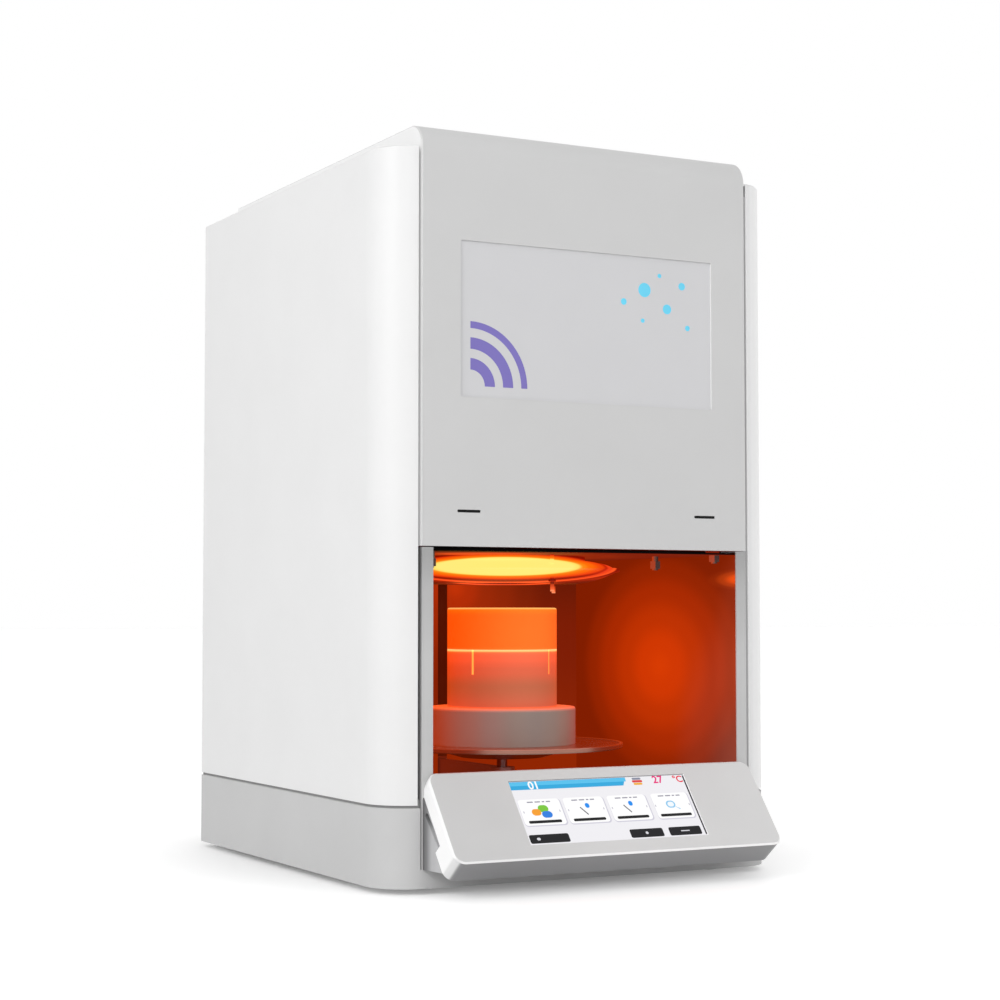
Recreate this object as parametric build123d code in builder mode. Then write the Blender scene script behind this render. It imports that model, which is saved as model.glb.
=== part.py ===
from build123d import *
from math import cos, degrees, pi, radians, sin, sqrt
import os

# Bottom-loading sintering furnace for dental ceramics, modelled piece by piece in millimetres.
# The origin is on the floor under the middle of the furnace's outer box. +X is to the right seen
# from the front, +Y runs to the back and +Z is up. The lift table is at its lower, loading end.

# ----------------------------------------------------------------------------------------
# Driving dimensions
# ----------------------------------------------------------------------------------------

# Cabinet
cabinet_width = 400.0
base_height = 68.5  # base tub, from its underside to the seam
panel_height = 562.2  # side panels, from the seam to their shoulder
cover_rise = 21.3  # top of the cover above the shoulder
corner_radius = 38.75  # front corners, in plan
rear_radius = 3.0  # rear corners, in plan
rear_inner_radius = 0.5  # the least that they keep inside
shadow_gap = 2.5  # recessed joints between base, side panels and cover
sheet = 1.5  # painted sheet steel
tub_wall = 4.0
lip_height = 6.0  # rim of the tub that the side panels drop over
panel_fit = 0.2  # between a panel and what it slides over
panel_edge = 0.9
vent_count = 8
vent_pitch = 20.0
vent_width = 5.0
vent_length = 60.0
foot_height = 5.0
foot_diameter = 38.0
foot_inset = 52.0

# Front and top cover
cover_side_strip = 33.5  # front edge of the side panel beside the cover
cover_bend = 21.5
cover_return = 18.0  # folded edges behind the front
cover_end_gap = 7.0  # cover's rear end ahead of the rear panel's face
cover_edge = 1.0
plate_width = 258.0  # window for the blank name plate
plate_height = 135.6
plate_rise = 128.8  # window's lower edge above the cover's
plate_thickness = 2.0
plate_margin = 5.0
plate_corner = 1.5
slot_length = 22.7
slot_width = 2.5
slot_spacing = 241.7
slot_rise = 30.3
insert_margin = 3.0

# Loading bay
bay_inset = 11.5  # bay wall inside the edge of the cover, on each side
bay_depth = 292.0
bay_height = 218.8
floor_drop = 2.5  # bay floor below the seam
cover_lap = 3.6  # cover's lower edge above the bay ceiling
cutout_height = 16.0  # base left standing under the console
cutout_side = 1.0
portal_inset = 1.0  # portal's edge inside the edge of the cover, on each side
portal_return = 25.0
sill_drop = 3.0  # sill below the console's upper edge
ceiling_front_gap = 2.0
flange_height = 18.0

# Load: insulation block, crucible and lid on the lift table
plug_diameter = 139.4
plug_height = 35.1
crucible_diameter = 104.0
crucible_height = 54.3
crucible_wall = 5.0
lid_height = 39.2
lid_roof = 7.0
lid_register = 2.5  # step of the lid that drops into the crucible
lid_fit = 0.4
rim_slot_width = 2.4
rim_slot_depth = 23.0
rim_slot_angle = -60.0  # first of four, from the front
table_diameter = 229.0
table_rear_gap = 11.5  # to the rear wall of the bay
table_thickness = 3.0
table_rim = 3.0
table_rim_height = 4.2
dish_diameter = 146.0
dish_depth = 9.3
dish_flat = 40.0  # radius of the flat middle
shaft_diameter = 10.0
shaft_rise = 9.6  # shaft seen between arm and dish

# Mouth of the muffle
bore_clearance = 2.8  # radial, around the insulation block
collar_wall = 6.5
collar_fit = 0.3  # radial, in the ceiling
ring_diameter = 224.0
ring_drop = 26.6  # lowest face of the ring below the ceiling
ring_flare = 7.5  # rise of its underside to the rim
ring_rim = 2.0  # thickness at the rim
hanger_diameter = 3.6
hanger_radius = 97.0  # of the circle that the hangers stand on
hanger_drop = 7.0  # hanger tips below the ring
hanger_angle = 30.0
hanger_nut = 3.4  # radius over corners
hanger_nut_height = 2.0
hanger_fit = 0.1
closing_gap = 1.3  # table under the ring when the furnace is closed
stud_diameter = 6.0
stud_drop = 13.0
stud_nut = 5.7  # radius over corners
stud_nut_height = 4.8
muffle_stud_inset = 37.0  # from the wall of the bay
muffle_stud_spacing = 172.0  # from front to rear
bay_stud_inset = 8.0
bay_stud_setback = 24.0

# Muffle
muffle_side_gap = 10.0  # to the bay walls' planes
muffle_front_gap = 35.0  # behind the front plane
muffle_rear_reach = 5.0  # beyond the rear wall of the bay
muffle_headroom = 35.7  # under the top of the cover
casing_sheet = 1.2
floor_slab = 40.0
roof_slab = 58.0
chamber_diameter = 162.0
element_circle = 138.0
element_pitch = 26.0  # between the two legs of one element
element_diameter = 8.0
element_lift = 14.0  # bridges above the floor slab
bridge_width = 9.0  # square bridge at the foot of each element
terminal_height = 24.0  # terminals above the casing
terminal_fit = 0.3  # radial, around the elements and the thermocouple
roof_opening = 198.0  # square in the casing's top
holder_height = 9.0
holder_width = 20.0
holder_end = 11.0  # holder beyond each leg
holder_head = 6.0  # head wider than the plug
strap_thickness = 3.0
strap_width = 14.0
probe_diameter = 6.0
probe_reach = 22.0  # thermocouple below the roof slab
probe_head_width = 36.0
probe_head_depth = 24.0
probe_head_round = 4.0
probe_head_height = 15.0

# Lift drive
carriage_room = 53.0  # rear wall of the bay to the middle of the carriage
bulkhead_room = 37.0  # middle of the carriage to the bulkhead
service_room = 62.0  # bulkhead to the outside of the rear panel
rod_spacing = 84.0
rod_diameter = 12.0
bush_diameter = 21.0
carriage_height = 60.0
carriage_depth = 34.0
carriage_width = 122.0
carriage_chamfer = 4.0
arm_width = 7.0
arm_height = 16.0
arm_boss_diameter = 24.0
arm_flange = 6.0
arm_flange_width = 40.0
arm_gap = 4.0  # arm above the bay floor
arm_slot_width = 11.0
arm_slot_top_gap = 14.0
screw_diameter = 12.0
nut_side = 22.0
nut_flange = 36.0
nut_length = 28.0
nut_flange_height = 6.0
bearing_plate = 10.0
overtravel = 16.0  # carriage to each bearing plate, at the ends of the stroke
coupling_diameter = 24.0
coupling_length = 26.0
coupling_rise = 3.0  # above the upper bearing plate
motor_rise = 4.0  # above the coupling
motor_side = 56.4
motor_length = 56.0
motor_shaft_diameter = 6.35
motor_round = 5.0
bracket_sheet = 3.0
bracket_side = 6.0  # bracket beyond the motor on each side
bracket_bore_gap = 3.0  # around the coupling
running_gap = 0.05  # radial, where something turns or slides
seat_gap = 0.02  # all round, where a piece is held
chassis_sheet = 2.0
chassis_flange = 16.0
chassis_gap = 2.0  # behind the portal's folded edges
window_share = 0.7  # height of the chassis windows against the muffle's
window_corner = 12.0

# Console
console_inset = 3.3  # console's sides inside the edge of the cover
console_top_z = 102.0
face_setback = 3.7  # upper edge of the face ahead of the front plane
face_length = 89.65
face_tilt = 38.8  # from the vertical
face_round = 10.0
rim_bevel = 1.4
bezel_depth = 16.0
fascia_depth = 26.5
fascia_height = 28.0
bezel_wall = 2.5
bezel_front = 3.0
screen_width = 178.0
screen_height = 64.5
screen_rise = 13.5
screen_recess = 0.8
screen_clearance = 0.4
screen_corner = 1.0
display_thickness = 6.0
display_margin = 4.0
display_board_width = 142.0
display_board_height = 45.0
board_thickness = 1.6
cheek_inset = 3.5
cheek_wall = 4.5
cheek_slot_length = 34.0
cheek_slot_width = 4.5
cheek_slot_depth = 2.4
cheek_slot_rise = 46.0  # middle of the slot above the face's lower edge
console_floor_z = 21.0
console_root = 1.2  # gap between cheeks and portal edge at the front plane

# Rear panel
rear_gap = 0.5  # to the side panels
louvre_length = 90.0
louvre_width = 4.0
louvre_count = 7
louvre_pitch = 14.0
louvre_spacing = 114.0
exhaust_count = 16
exhaust_pitch = 19.0
exhaust_height = 13.0
grille_count = 9
grille_pitch = 8.6
grille_slot = 5.0
grille_bar = 3.0

# Fan
fan_side = 92.0
fan_depth = 25.0
fan_bore = 42.0  # radius of the air passage
fan_z = 545.0
fan_x = 0.0
fan_blades = 5
fan_blade_chord = 22.0
fan_blade_sheet = 1.6
fan_blade_pitch = 0.75  # rise of a blade along the axis for each unit across it
fan_hub_radius = 17.0
fan_pin_radius = 2.0
spider_thickness = 3.0
spider_width = 5.0
rotor_gap = 1.0
tip_gap = 1.5
air_window = 184.0

# Mains fittings
service_z = 118.0
inlet_width = 26.0
inlet_height = 19.0
inlet_wall = 1.8
inlet_depth = 20.0
inlet_base = 6.0
inlet_flange = 2.4
inlet_flange_side = 8.5
inlet_flange_edge = 2.5
inlet_corner = 3.0
inlet_pin_pitch = 7.5
inlet_pin_width = 2.0
inlet_pin_height = 6.0
inlet_pin_setback = 3.0
inlet_x = -112.0
switch_x = -62.0
switch_width = 19.0
switch_height = 26.0
switch_flange = 2.0
switch_depth = 16.0
rocker_width = 14.0
rocker_height = 20.0
rocker_well = 12.0
rocker_gap = 0.5  # beside the rocker
rocker_end_gap = 1.0
rocker_pin = 1.5
rocker_pin_reach = 1.5
rocker_depth = 2.0  # pivot inside the panel's face
rocker_angle = 10.0  # upper half pressed
rocker_nose = 2.2
rocker_belly = 4.0
fuse_x = -28.0
fuse_pitch = 24.0
fuse_radius = 6.0  # over the corners of the cap and body
fuse_flange_radius = 8.5
fuse_flange = 2.5
fuse_cap_reach = 8.0
fuse_depth = 30.0

# Power and control
drive_gap = 10.5  # beside the core and the heat sink, to the carriage and to the chassis
core_depth = 44.0
core_height = 84.0
core_leg = 14.0
coil_width = 28.0
coil_depth = 58.0
coil_round = 5.0
coil_gap = 1.0
transformer_foot = 3.0
sink_height = 110.0
sink_depth = 40.0
sink_base = 6.0
sink_fins = 9
sink_fin = 2.0
sink_rise = 150.0  # above the tub floor
board_width = 190.0
board_height = 120.0
board_pillar = 8.0
board_pillar_inset = 6.0
board_pillar_radius = 4.0
strip_width = 132.0
strip_height = 12.0
strip_depth = 12.0
can_side = 24.0
relay_pitch = 19.0
relay_width = 14.0
relay_height = 28.0
relay_depth = 16.0
capacitor_diameter = 12.0
capacitor_pitch = 18.0
capacitor_height = 22.0

# ----------------------------------------------------------------------------------------
# Levels and stations that follow
# ----------------------------------------------------------------------------------------

tilt = radians(face_tilt)
console_reach = face_setback + (face_length - rim_bevel) * sin(tilt)
cabinet_depth = bay_depth + carriage_room + bulkhead_room + service_room
front_y = (console_reach - cabinet_depth - fuse_cap_reach) / 2
back_y = front_y + cabinet_depth
middle_y = front_y + cabinet_depth / 2
bay_back_y = front_y + bay_depth
stack_y = bay_back_y - table_rear_gap - table_diameter / 2
carriage_y = bay_back_y + carriage_room
bulkhead_y = carriage_y + bulkhead_room
cover_end_y = back_y - cover_end_gap
chassis_front_y = front_y + portal_return + chassis_gap
chassis_back_y = back_y - sheet

base_z = foot_height
tub_floor_z = base_z + tub_wall
seam_z = base_z + base_height
panel_z = seam_z + shadow_gap / 2
shoulder_z = seam_z + panel_height
top_z = shoulder_z + cover_rise
bay_floor_z = seam_z - floor_drop
ceiling_z = bay_floor_z + bay_height
cover_z = ceiling_z + cover_lap
sill_z = console_top_z - sill_drop
chassis_top_z = shoulder_z - sheet
chassis_height = chassis_top_z - tub_floor_z
cover_width = cabinet_width - 2 * cover_side_strip
console_width = cover_width - 2 * console_inset
portal_width = cover_width - 2 * portal_inset
panel_inner_x = cover_width / 2 + shadow_gap

arm_z = bay_floor_z + arm_gap
dish_z = arm_z + arm_height + shaft_rise
table_z = dish_z + dish_depth
table_top_z = table_z + table_thickness
plug_top_z = table_top_z + plug_height
crucible_top_z = plug_top_z + crucible_height
ring_z = ceiling_z - ring_drop
ring_top_z = ring_z + ring_flare + ring_rim
lift_stroke = ring_z - closing_gap - table_top_z

bore_radius = plug_diameter / 2 + bore_clearance
collar_radius = bore_radius + collar_wall
mouth_hole_radius = collar_radius + collar_fit
casing_z = ceiling_z + sheet
slab_z = casing_z + casing_sheet
chamber_z = slab_z + floor_slab
casing_top_z = top_z - muffle_headroom
muffle_height = casing_top_z - casing_z
roof_z = casing_top_z - casing_sheet - roof_slab
bay_width = cover_width - 2 * bay_inset
muffle_width = bay_width - 2 * muffle_side_gap
muffle_depth = bay_depth - muffle_front_gap + muffle_rear_reach
muffle_y = front_y + muffle_front_gap + muffle_depth / 2
wall_x = bay_width / 2 + sheet  # outer faces of the bay walls, which the chassis sides meet
drive_room = wall_x - carriage_width / 2  # on each side of the carriage
core_width = drive_room - 2 * drive_gap
sink_width = core_width

lower_plate_z = arm_z - (carriage_height - arm_height) / 2 - overtravel - bearing_plate
carriage_z = lower_plate_z + bearing_plate + overtravel
upper_plate_z = carriage_z + carriage_height + lift_stroke + overtravel
coupling_z = upper_plate_z + bearing_plate + coupling_rise
motor_z = coupling_z + coupling_length + motor_rise

front_face = Plane.XZ.offset(-front_y)
rear_face = Plane((0, back_y, 0), x_dir=(-1, 0, 0), z_dir=(0, 1, 0))  # its x runs to -X
fuse_places = ((-fuse_x - fuse_pitch, service_z), (-fuse_x, service_z))
inlet_body_width = inlet_width + 2 * (inlet_wall + panel_fit)
inlet_body_height = inlet_height + 2 * (inlet_wall + panel_fit)
face_bottom = Vector(
    0,
    front_y - face_setback - face_length * sin(tilt),
    console_top_z - face_length * cos(tilt),
)
console_face = Plane(face_bottom, x_dir=(1, 0, 0), z_dir=(0, -cos(tilt), sin(tilt)))


def cabinet_plan(inset=0.0):
    """Plan of the cabinet, drawn inset from its outer face, with round front corners."""
    with BuildSketch(mode=Mode.PRIVATE) as plan:
        with Locations((0, middle_y)):
            Rectangle(cabinet_width - 2 * inset, cabinet_depth - 2 * inset)
        fillet(vertices().group_by(Axis.Y)[0], corner_radius - inset)
        fillet(vertices().group_by(Axis.Y)[-1], max(rear_radius - inset, rear_inner_radius))
    return plan.sketch


# ----------------------------------------------------------------------------------------
# Enclosure: base tub, feet, side panels, cover, name plate, rear panel
# ----------------------------------------------------------------------------------------

# Moulded base tub. Its rim steps inward, so that the side panels drop over it with a shadow gap.
with BuildPart() as base_tub:
    with BuildSketch(Plane.XY.offset(base_z)):
        add(cabinet_plan())
    extrude(amount=base_height + lip_height)
    with BuildSketch(Plane.XY.offset(tub_floor_z)):
        add(cabinet_plan(tub_wall))
    extrude(amount=base_height + lip_height, mode=Mode.SUBTRACT)
    with BuildSketch(Plane.XY.offset(seam_z - shadow_gap / 2)):
        add(cabinet_plan(-shadow_gap))
        add(cabinet_plan(sheet + panel_fit), mode=Mode.SUBTRACT)
    extrude(amount=lip_height + shadow_gap, mode=Mode.SUBTRACT)
    with BuildSketch(front_face):
        with Locations((0, base_z + cutout_height)):
            Rectangle(
                portal_width + 2 * cutout_side,
                base_height,
                align=(Align.CENTER, Align.MIN),
            )
    extrude(amount=-corner_radius / 2, mode=Mode.SUBTRACT)
    with BuildSketch(Plane.XY.offset(base_z)):
        with Locations((0, back_y - cabinet_depth / 4)):
            with GridLocations(vent_pitch, 0, vent_count, 1):
                Rectangle(vent_width, vent_length)
    extrude(amount=tub_wall, mode=Mode.SUBTRACT)
base_tub.part.label = "base_tub"

# Four rubber feet under the corners of the tub.
with BuildPart() as rubber_feet:
    with BuildSketch(Plane.XY):
        with Locations((0, middle_y)):
            with GridLocations(
                cabinet_width - 2 * foot_inset, cabinet_depth - 2 * foot_inset, 2, 2
            ):
                Circle(foot_diameter / 2)
    extrude(amount=foot_height)
rubber_feet.part.label = "rubber_feet"

# Side panels: one bent sheet each, round at the front, folded inward at the shoulder and back.
with BuildPart() as left_side_panel:
    with BuildSketch(Plane.XY.offset(panel_z)):
        add(cabinet_plan())
        add(cabinet_plan(sheet), mode=Mode.SUBTRACT)
        split(bisect_by=Plane.YZ.offset(-panel_inner_x), keep=Keep.BOTTOM)
    extrude(amount=shoulder_z - panel_z)
    with BuildSketch(Plane.XY.offset(shoulder_z)):
        add(cabinet_plan())
        split(bisect_by=Plane.YZ.offset(-panel_inner_x), keep=Keep.BOTTOM)
    extrude(amount=-sheet)
    chamfer(faces().sort_by(Axis.Z)[-1].edges().sort_by(Axis.X)[:-1], panel_edge)
left_side_panel.part.label = "left_side_panel"

with BuildPart() as right_side_panel:
    mirror(left_side_panel.part, about=Plane.YZ)
right_side_panel.part.label = "right_side_panel"

# Front and top cover: one L-shaped sheet with a large bend over the front edge, a window for
# the name plate, two narrow slots and a row of exhaust slots in its rear end.
with BuildPart() as front_top_cover:
    with BuildSketch(Plane.YZ):
        with BuildLine():
            rise = Line((front_y, cover_z), (front_y, top_z - cover_bend))
            bend = TangentArc(
                rise @ 1, (front_y + cover_bend, top_z), tangent=rise % 1
            )
            Polyline(
                bend @ 1,
                (cover_end_y, top_z),
                (cover_end_y, chassis_top_z),
                (front_y + cover_return, chassis_top_z),
                (front_y + cover_return, cover_z),
                rise @ 0,
            )
        make_face()
    extrude(amount=cover_width / 2, both=True)
    open_back = faces().filter_by(Plane.XZ).sort_by(Axis.Y)[1]
    open_under = faces().filter_by(Plane.XY).sort_by(Axis.Z)[1]
    offset(amount=-sheet, openings=[open_back, open_under], kind=Kind.INTERSECTION)
    outer_sides = faces().filter_by(Plane.YZ).sort_by(Axis.X)
    for side in (outer_sides[0], outer_sides[-1]):
        long_edges = side.edges().filter_by(
            lambda edge: edge.center().Y < front_y + cover_edge
            or edge.center().Z > top_z - cover_bend / 2
        )
        chamfer(long_edges, cover_edge)
    with BuildSketch(front_face):
        with Locations((0, cover_z + plate_rise)):
            RectangleRounded(
                plate_width, plate_height, plate_corner, align=(Align.CENTER, Align.MIN)
            )
        with Locations((0, cover_z + slot_rise)):
            with GridLocations(slot_spacing, 0, 2, 1):
                SlotOverall(slot_length, slot_width)
    extrude(amount=-2 * sheet, mode=Mode.SUBTRACT)
    with BuildSketch(Plane.XZ.offset(-cover_end_y)):
        with Locations((0, (shoulder_z + top_z) / 2)):
            with GridLocations(exhaust_pitch, 0, exhaust_count, 1):
                Rectangle(louvre_width, exhaust_height)
    extrude(amount=2 * sheet, mode=Mode.SUBTRACT)
front_top_cover.part.label = "front_top_cover"

# Blank name plate behind the window of the cover.
with BuildPart() as name_plate:
    with BuildSketch(front_face.offset(-sheet)):
        with Locations((0, cover_z + plate_rise + plate_height / 2)):
            Rectangle(
                plate_width + 2 * plate_margin, plate_height + 2 * plate_margin
            )
    extrude(amount=-plate_thickness)
name_plate.part.label = "name_plate"

# Black lenses that close the two slots from behind.
with BuildPart() as slot_inserts:
    with BuildSketch(front_face.offset(-sheet)):
        with Locations((0, cover_z + slot_rise)):
            with GridLocations(slot_spacing, 0, 2, 1):
                Rectangle(slot_length + 2 * insert_margin, slot_width + 2 * insert_margin)
    extrude(amount=-plate_thickness)
    with BuildSketch(front_face.offset(-sheet)):
        with Locations((0, cover_z + slot_rise)):
            with GridLocations(slot_spacing, 0, 2, 1):
                SlotOverall(slot_length - 2 * panel_fit, slot_width - 2 * panel_fit)
    extrude(amount=sheet / 2)
slot_inserts.part.label = "slot_inserts"

# Portal: flat jambs beside the bay and the sill that closes the front of the tub.
with BuildPart() as front_portal:
    portal_z = base_z + cutout_height
    portal_top_z = cover_z - cutout_side
    with BuildSketch(front_face) as portal_outline:
        with Locations((0, portal_z)):
            Rectangle(
                portal_width, portal_top_z - portal_z, align=(Align.CENTER, Align.MIN)
            )
        with Locations((0, sill_z)):
            Rectangle(
                bay_width,
                portal_top_z - sill_z,
                align=(Align.CENTER, Align.MIN),
                mode=Mode.SUBTRACT,
            )
    extrude(amount=-sheet)
    with BuildSketch(front_face.offset(-sheet)):
        with Locations((0, portal_z)):
            with GridLocations(portal_width - sheet, 0, 2, 1):
                Rectangle(
                    sheet, portal_top_z - portal_z, align=(Align.CENTER, Align.MIN)
                )
        with Locations((0, sill_z)):
            Rectangle(bay_width, sheet, align=(Align.CENTER, Align.MAX))
    extrude(amount=-(portal_return - sheet))
front_portal.part.label = "front_portal"

# Chassis sides: pressed pans that stand in the tub and carry the bay, the muffle and the panels.
# Each has two windows beside the muffle, and a relief behind for the tub's rear wall.
with BuildPart() as left_chassis:
    chassis_plane = Plane.YZ.offset(-wall_x)
    with BuildSketch(chassis_plane):
        with Locations((chassis_front_y, tub_floor_z)):
            Rectangle(
                chassis_back_y - chassis_front_y,
                chassis_height,
                align=(Align.MIN, Align.MIN),
            )
    extrude(amount=-chassis_flange)
    offset(amount=-chassis_sheet, openings=faces().sort_by(Axis.X)[0])
    window_depth = (chassis_back_y - chassis_front_y) / 2 - 2 * chassis_flange
    with BuildSketch(chassis_plane):
        with Locations(
            ((chassis_front_y + chassis_back_y) / 2, (ceiling_z + top_z) / 2)
        ):
            with GridLocations(window_depth + 2 * chassis_flange, 0, 2, 1):
                RectangleRounded(
                    window_depth, muffle_height * window_share, window_corner
                )
    extrude(amount=-chassis_sheet, mode=Mode.SUBTRACT)
    with BuildSketch(chassis_plane):
        with Locations((back_y - tub_wall - panel_fit, tub_floor_z)):
            Rectangle(
                tub_wall,
                base_height + lip_height,
                align=(Align.MIN, Align.MIN),
            )
    extrude(amount=-chassis_flange, mode=Mode.SUBTRACT)
left_chassis.part.label = "left_chassis"

with BuildPart() as right_chassis:
    mirror(left_chassis.part, about=Plane.YZ)
right_chassis.part.label = "right_chassis"

# Bulkhead between the lift drive and the electronics, open where the fan draws air.
with BuildPart() as bulkhead:
    with BuildSketch(Plane.XZ.offset(-bulkhead_y)):
        with Locations((0, tub_floor_z)):
            Rectangle(2 * wall_x, chassis_height, align=(Align.CENTER, Align.MIN))
        with Locations((fan_x, fan_z)):
            Rectangle(air_window, fan_side, mode=Mode.SUBTRACT)
    extrude(amount=-sheet)
bulkhead.part.label = "bulkhead"

# Rear panel with the fan grille, louvres and the cut-outs of the mains fittings. Its upper edge
# is folded in as far as the cover.
with BuildPart() as rear_panel:
    with BuildSketch(rear_face):
        with Locations((0, panel_z)):
            Rectangle(
                2 * (panel_inner_x - rear_gap),
                shoulder_z - panel_z,
                align=(Align.CENTER, Align.MIN),
            )
        for row in range(grille_count):
            rise = (row - (grille_count - 1) / 2) * grille_pitch
            chord = 2 * sqrt(fan_bore**2 - rise**2)
            with Locations((fan_x, fan_z + rise)):
                with GridLocations(chord / 2, 0, 2, 1):
                    Rectangle(chord / 2 - grille_bar, grille_slot, mode=Mode.SUBTRACT)
        with Locations((0, (fan_z + service_z) / 2)):
            with GridLocations(louvre_spacing, louvre_pitch, 2, louvre_count):
                Rectangle(louvre_length, louvre_width, mode=Mode.SUBTRACT)
        with Locations((-inlet_x, service_z)):
            Rectangle(inlet_body_width, inlet_body_height, mode=Mode.SUBTRACT)
        with Locations((-switch_x, service_z)):
            Rectangle(switch_width, switch_height, mode=Mode.SUBTRACT)
        with Locations(*fuse_places):
            RegularPolygon(fuse_radius + panel_fit, 6, mode=Mode.SUBTRACT)
    extrude(amount=-sheet)
    with BuildSketch(Plane.XY.offset(shoulder_z)):
        with Locations((0, back_y)):
            Rectangle(cover_width, cover_end_gap, align=(Align.CENTER, Align.MAX))
    extrude(amount=-sheet)
rear_panel.part.label = "rear_panel"

# ----------------------------------------------------------------------------------------
# Loading bay: floor, walls, ceiling and the mouth of the muffle
# ----------------------------------------------------------------------------------------

bay_front_y = front_y + portal_return
stack_axis = Axis((0, stack_y, 0), (0, 0, 1))

# Bay floor with an upturned front edge behind the sill.
with BuildPart() as bay_floor:
    with BuildSketch(Plane.XY.offset(bay_floor_z)):
        with Locations((0, bay_front_y)):
            Rectangle(bay_width, bay_back_y - bay_front_y, align=(Align.CENTER, Align.MIN))
    extrude(amount=-sheet)
    with BuildSketch(Plane.XY.offset(bay_floor_z)):
        with Locations((0, bay_front_y)):
            Rectangle(bay_width, sheet, align=(Align.CENTER, Align.MIN))
    extrude(amount=sill_z - bay_floor_z)
bay_floor.part.label = "bay_floor"

# Side walls of the bay, from the portal to the rear wall.
with BuildPart() as bay_left_wall:
    with BuildSketch(Plane.YZ.offset(-wall_x)):
        with Locations((front_y + sheet, bay_floor_z - sheet)):
            Rectangle(
                bay_depth - sheet, bay_height + sheet, align=(Align.MIN, Align.MIN)
            )
    extrude(amount=sheet)
bay_left_wall.part.label = "bay_left_wall"

with BuildPart() as bay_right_wall:
    mirror(bay_left_wall.part, about=Plane.YZ)
bay_right_wall.part.label = "bay_right_wall"

# Rear wall of the bay. The lift arm runs in its upright slot.
with BuildPart() as bay_rear_wall:
    with BuildSketch(Plane.XZ.offset(-bay_back_y)):
        with Locations((0, bay_floor_z - sheet)):
            Rectangle(2 * wall_x, bay_height + sheet, align=(Align.CENTER, Align.MIN))
        with Locations((0, arm_z - arm_gap / 2)):
            Rectangle(
                arm_slot_width,
                bay_height - arm_gap / 2 - arm_slot_top_gap,
                align=(Align.CENTER, Align.MIN),
                mode=Mode.SUBTRACT,
            )
    extrude(amount=-sheet)
bay_rear_wall.part.label = "bay_rear_wall"

# Bay ceiling, the shelf that the muffle stands on.
with BuildPart() as bay_ceiling:
    ceiling_depth = bay_depth - ceiling_front_gap
    with BuildSketch(Plane.XY.offset(ceiling_z)):
        with Locations((0, front_y + ceiling_front_gap)):
            Rectangle(2 * wall_x, ceiling_depth, align=(Align.CENTER, Align.MIN))
        with Locations((0, stack_y)):
            Circle(mouth_hole_radius, mode=Mode.SUBTRACT)
    extrude(amount=sheet)
    with BuildSketch(Plane.XY.offset(ceiling_z + sheet)):
        with Locations((0, bay_back_y)):
            with GridLocations(2 * wall_x - sheet, 0, 2, 1):
                Rectangle(
                    sheet,
                    bay_back_y - chassis_front_y,
                    align=(Align.CENTER, Align.MAX),
                )
    extrude(amount=flange_height)
bay_ceiling.part.label = "bay_ceiling"

# Refractory collar: the short translucent tube that lines the mouth under the ceiling.
with BuildPart() as mouth_collar:
    with BuildSketch(Plane.XY.offset(ring_top_z)):
        with Locations((0, stack_y)):
            Circle(collar_radius)
            Circle(bore_radius, mode=Mode.SUBTRACT)
    extrude(amount=slab_z - ring_top_z)
mouth_collar.part.label = "mouth_collar"

# Ring that carries the collar. It thins outward, so that its underside rises to the rim.
with BuildPart() as mouth_ring:
    rim_radius = ring_diameter / 2
    with BuildSketch(Plane.XZ.offset(-stack_y)):
        with BuildLine():
            Polyline(
                (bore_radius, ring_z),
                (rim_radius, ring_z + ring_flare),
                (rim_radius, ring_top_z),
                (bore_radius, ring_top_z),
                close=True,
            )
        make_face()
    revolve(axis=stack_axis)
    with BuildSketch(Plane.XY.offset(ring_z)):
        with Locations((0, stack_y)):
            with PolarLocations(hanger_radius, 3, start_angle=hanger_angle):
                Circle(hanger_diameter / 2 + hanger_fit)
    extrude(amount=ring_drop, mode=Mode.SUBTRACT)
mouth_ring.part.label = "mouth_ring"

# Three hangers, each with a nut under the ring and a short end below it.
with BuildPart() as ring_hangers:
    ring_slope = ring_flare / (rim_radius - bore_radius)
    nut_top_z = ring_z + ring_slope * (hanger_radius - hanger_nut - bore_radius)
    nut_z = nut_top_z - hanger_nut_height
    with BuildSketch(Plane.XY.offset(nut_top_z)):
        with Locations((0, stack_y)):
            with PolarLocations(hanger_radius, 3, start_angle=hanger_angle):
                Circle(hanger_diameter / 2)
    extrude(amount=ceiling_z - nut_top_z)
    with BuildSketch(Plane.XY.offset(nut_z)):
        with Locations((0, stack_y)):
            with PolarLocations(hanger_radius, 3, start_angle=hanger_angle):
                RegularPolygon(hanger_nut, 6)
    extrude(amount=hanger_nut_height)
    with BuildSketch(Plane.XY.offset(ring_z - hanger_drop)):
        with Locations((0, stack_y)):
            with PolarLocations(hanger_radius, 3, start_angle=hanger_angle):
                RegularPolygon(hanger_diameter / 2, 6)
    extrude(amount=nut_z - ring_z + hanger_drop)
ring_hangers.part.label = "ring_hangers"

# Nuts and stud ends that hold the muffle and the ceiling.
with BuildPart() as ceiling_studs:
    stud_places = [
        (side * (bay_width / 2 - inset), y)
        for side in (-1, 1)
        for inset, y in (
            (muffle_stud_inset, stack_y - muffle_stud_spacing / 2),
            (muffle_stud_inset, stack_y + muffle_stud_spacing / 2),
            (bay_stud_inset, front_y + bay_stud_setback),
        )
    ]
    with BuildSketch(Plane.XY.offset(ceiling_z)):
        with Locations(*stud_places):
            RegularPolygon(stud_nut, 6)
    extrude(amount=-stud_nut_height)
    with BuildSketch(Plane.XY.offset(ceiling_z - stud_nut_height)):
        with Locations(*stud_places):
            RegularPolygon(stud_diameter / 2, 8)
    extrude(amount=stud_nut_height - stud_drop)
ceiling_studs.part.label = "ceiling_studs"

# ----------------------------------------------------------------------------------------
# Muffle: casing, insulation, heating elements and thermocouple
# ----------------------------------------------------------------------------------------

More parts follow.
